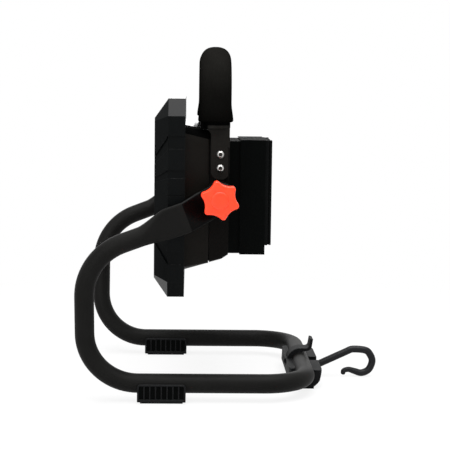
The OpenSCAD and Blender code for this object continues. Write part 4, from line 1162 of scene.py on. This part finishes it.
def whiteWhereSeen(nodes, seen, lit):
    camera, glossy, through = (nodes.node("ShaderNodeLightPath", output=key)
                               for key in ("Is Camera Ray", "Is Glossy Ray", "Is Transmission Ray"))
    factor = nodes.maths("MINIMUM", camera + glossy + through, 1.0)
    nodes.show(nodes.node("ShaderNodeMixShader", {}, {0: factor, 1: lit, 2: seen}))


def floorFinish():
    finish = Finish("floorPale", "ShaderNodeBsdfDiffuse", Color=(0.8, 0.8, 0.8, 1))
    plain = finish.surface
    glow = finish.node("ShaderNodeEmission", {}, {"Color": (1, 1, 1, 1), "Strength": 1.0})
    away = finish.node("ShaderNodeVectorMath", {"operation": "LENGTH"}, {0: finish.place()}, "Value")
    fade = finish.ramp(away, studio["shadowNear"], studio["shadowGone"])  # the shadow fades out
    bright = finish.node("ShaderNodeMixShader", {}, {0: fade, 1: plain, 2: glow})
    whiteWhereSeen(finish, bright, plain)
    return finish.material


reach = studio["floor"]
corners = [(-reach, -reach, 0), (reach, -reach, 0), (reach, reach, 0), (-reach, reach, 0)]
floor = placed("floor", meshOf("floor", corners, [(0, 1, 2, 3)]))
floor.data.materials.append(floorFinish())

world = bpy.data.worlds.new("studio")
scene.world = world
surround = NodeTree(world, "ShaderNodeOutputWorld")
seen, lit = (surround.node("ShaderNodeBackground", {}, {"Color": (1, 1, 1, 1), "Strength": strength})
             for strength in (1.0, studio["ambient"]))
whiteWhereSeen(surround, seen, lit)

for name, (place, target, size, watts) in studio["lamps"].items():
    lampData = bpy.data.lights.new(name, "AREA")
    lampData.shape = "RECTANGLE"
    lampData.size, lampData.size_y = size
    lampData.energy = watts
    lamp = placed(name, lampData)
    lamp.location = place
    lamp.rotation_euler = (Vector(target) - Vector(place)).to_track_quat("-Z", "Y").to_euler()


# Camera

view = {"place": (1431.43, -47.49, 332.30), "down": 6.460, "aside": 1.565, "roll": -0.716, "lens": 104.0}


def makeCamera():
    down, aside, roll = (radians(view[key]) for key in ("down", "aside", "roll"))
    ahead = Vector((-cos(down) * cos(aside), cos(down) * sin(aside), -sin(down)))
    right = ahead.cross(Vector((0, 0, 1))).normalized()
    below = ahead.cross(right)
    tiltedRight = right * cos(roll) + below * sin(roll)
    tiltedBelow = below * cos(roll) - right * sin(roll)
    data = bpy.data.cameras.new("camera")
    data.lens = view["lens"]
    data.sensor_width = 36
    data.sensor_fit = "HORIZONTAL"
    data.clip_start, data.clip_end = 0.05, 50
    camera = placed("camera", data)
    turn = Matrix((tiltedRight, -tiltedBelow, -ahead)).transposed()
    camera.matrix_world = Matrix.Translation(Vector(view["place"]) * mm) @ turn.to_4x4()
    scene.camera = camera


makeCamera()
scene.view_settings.view_transform = "Standard"
print("studio ready")
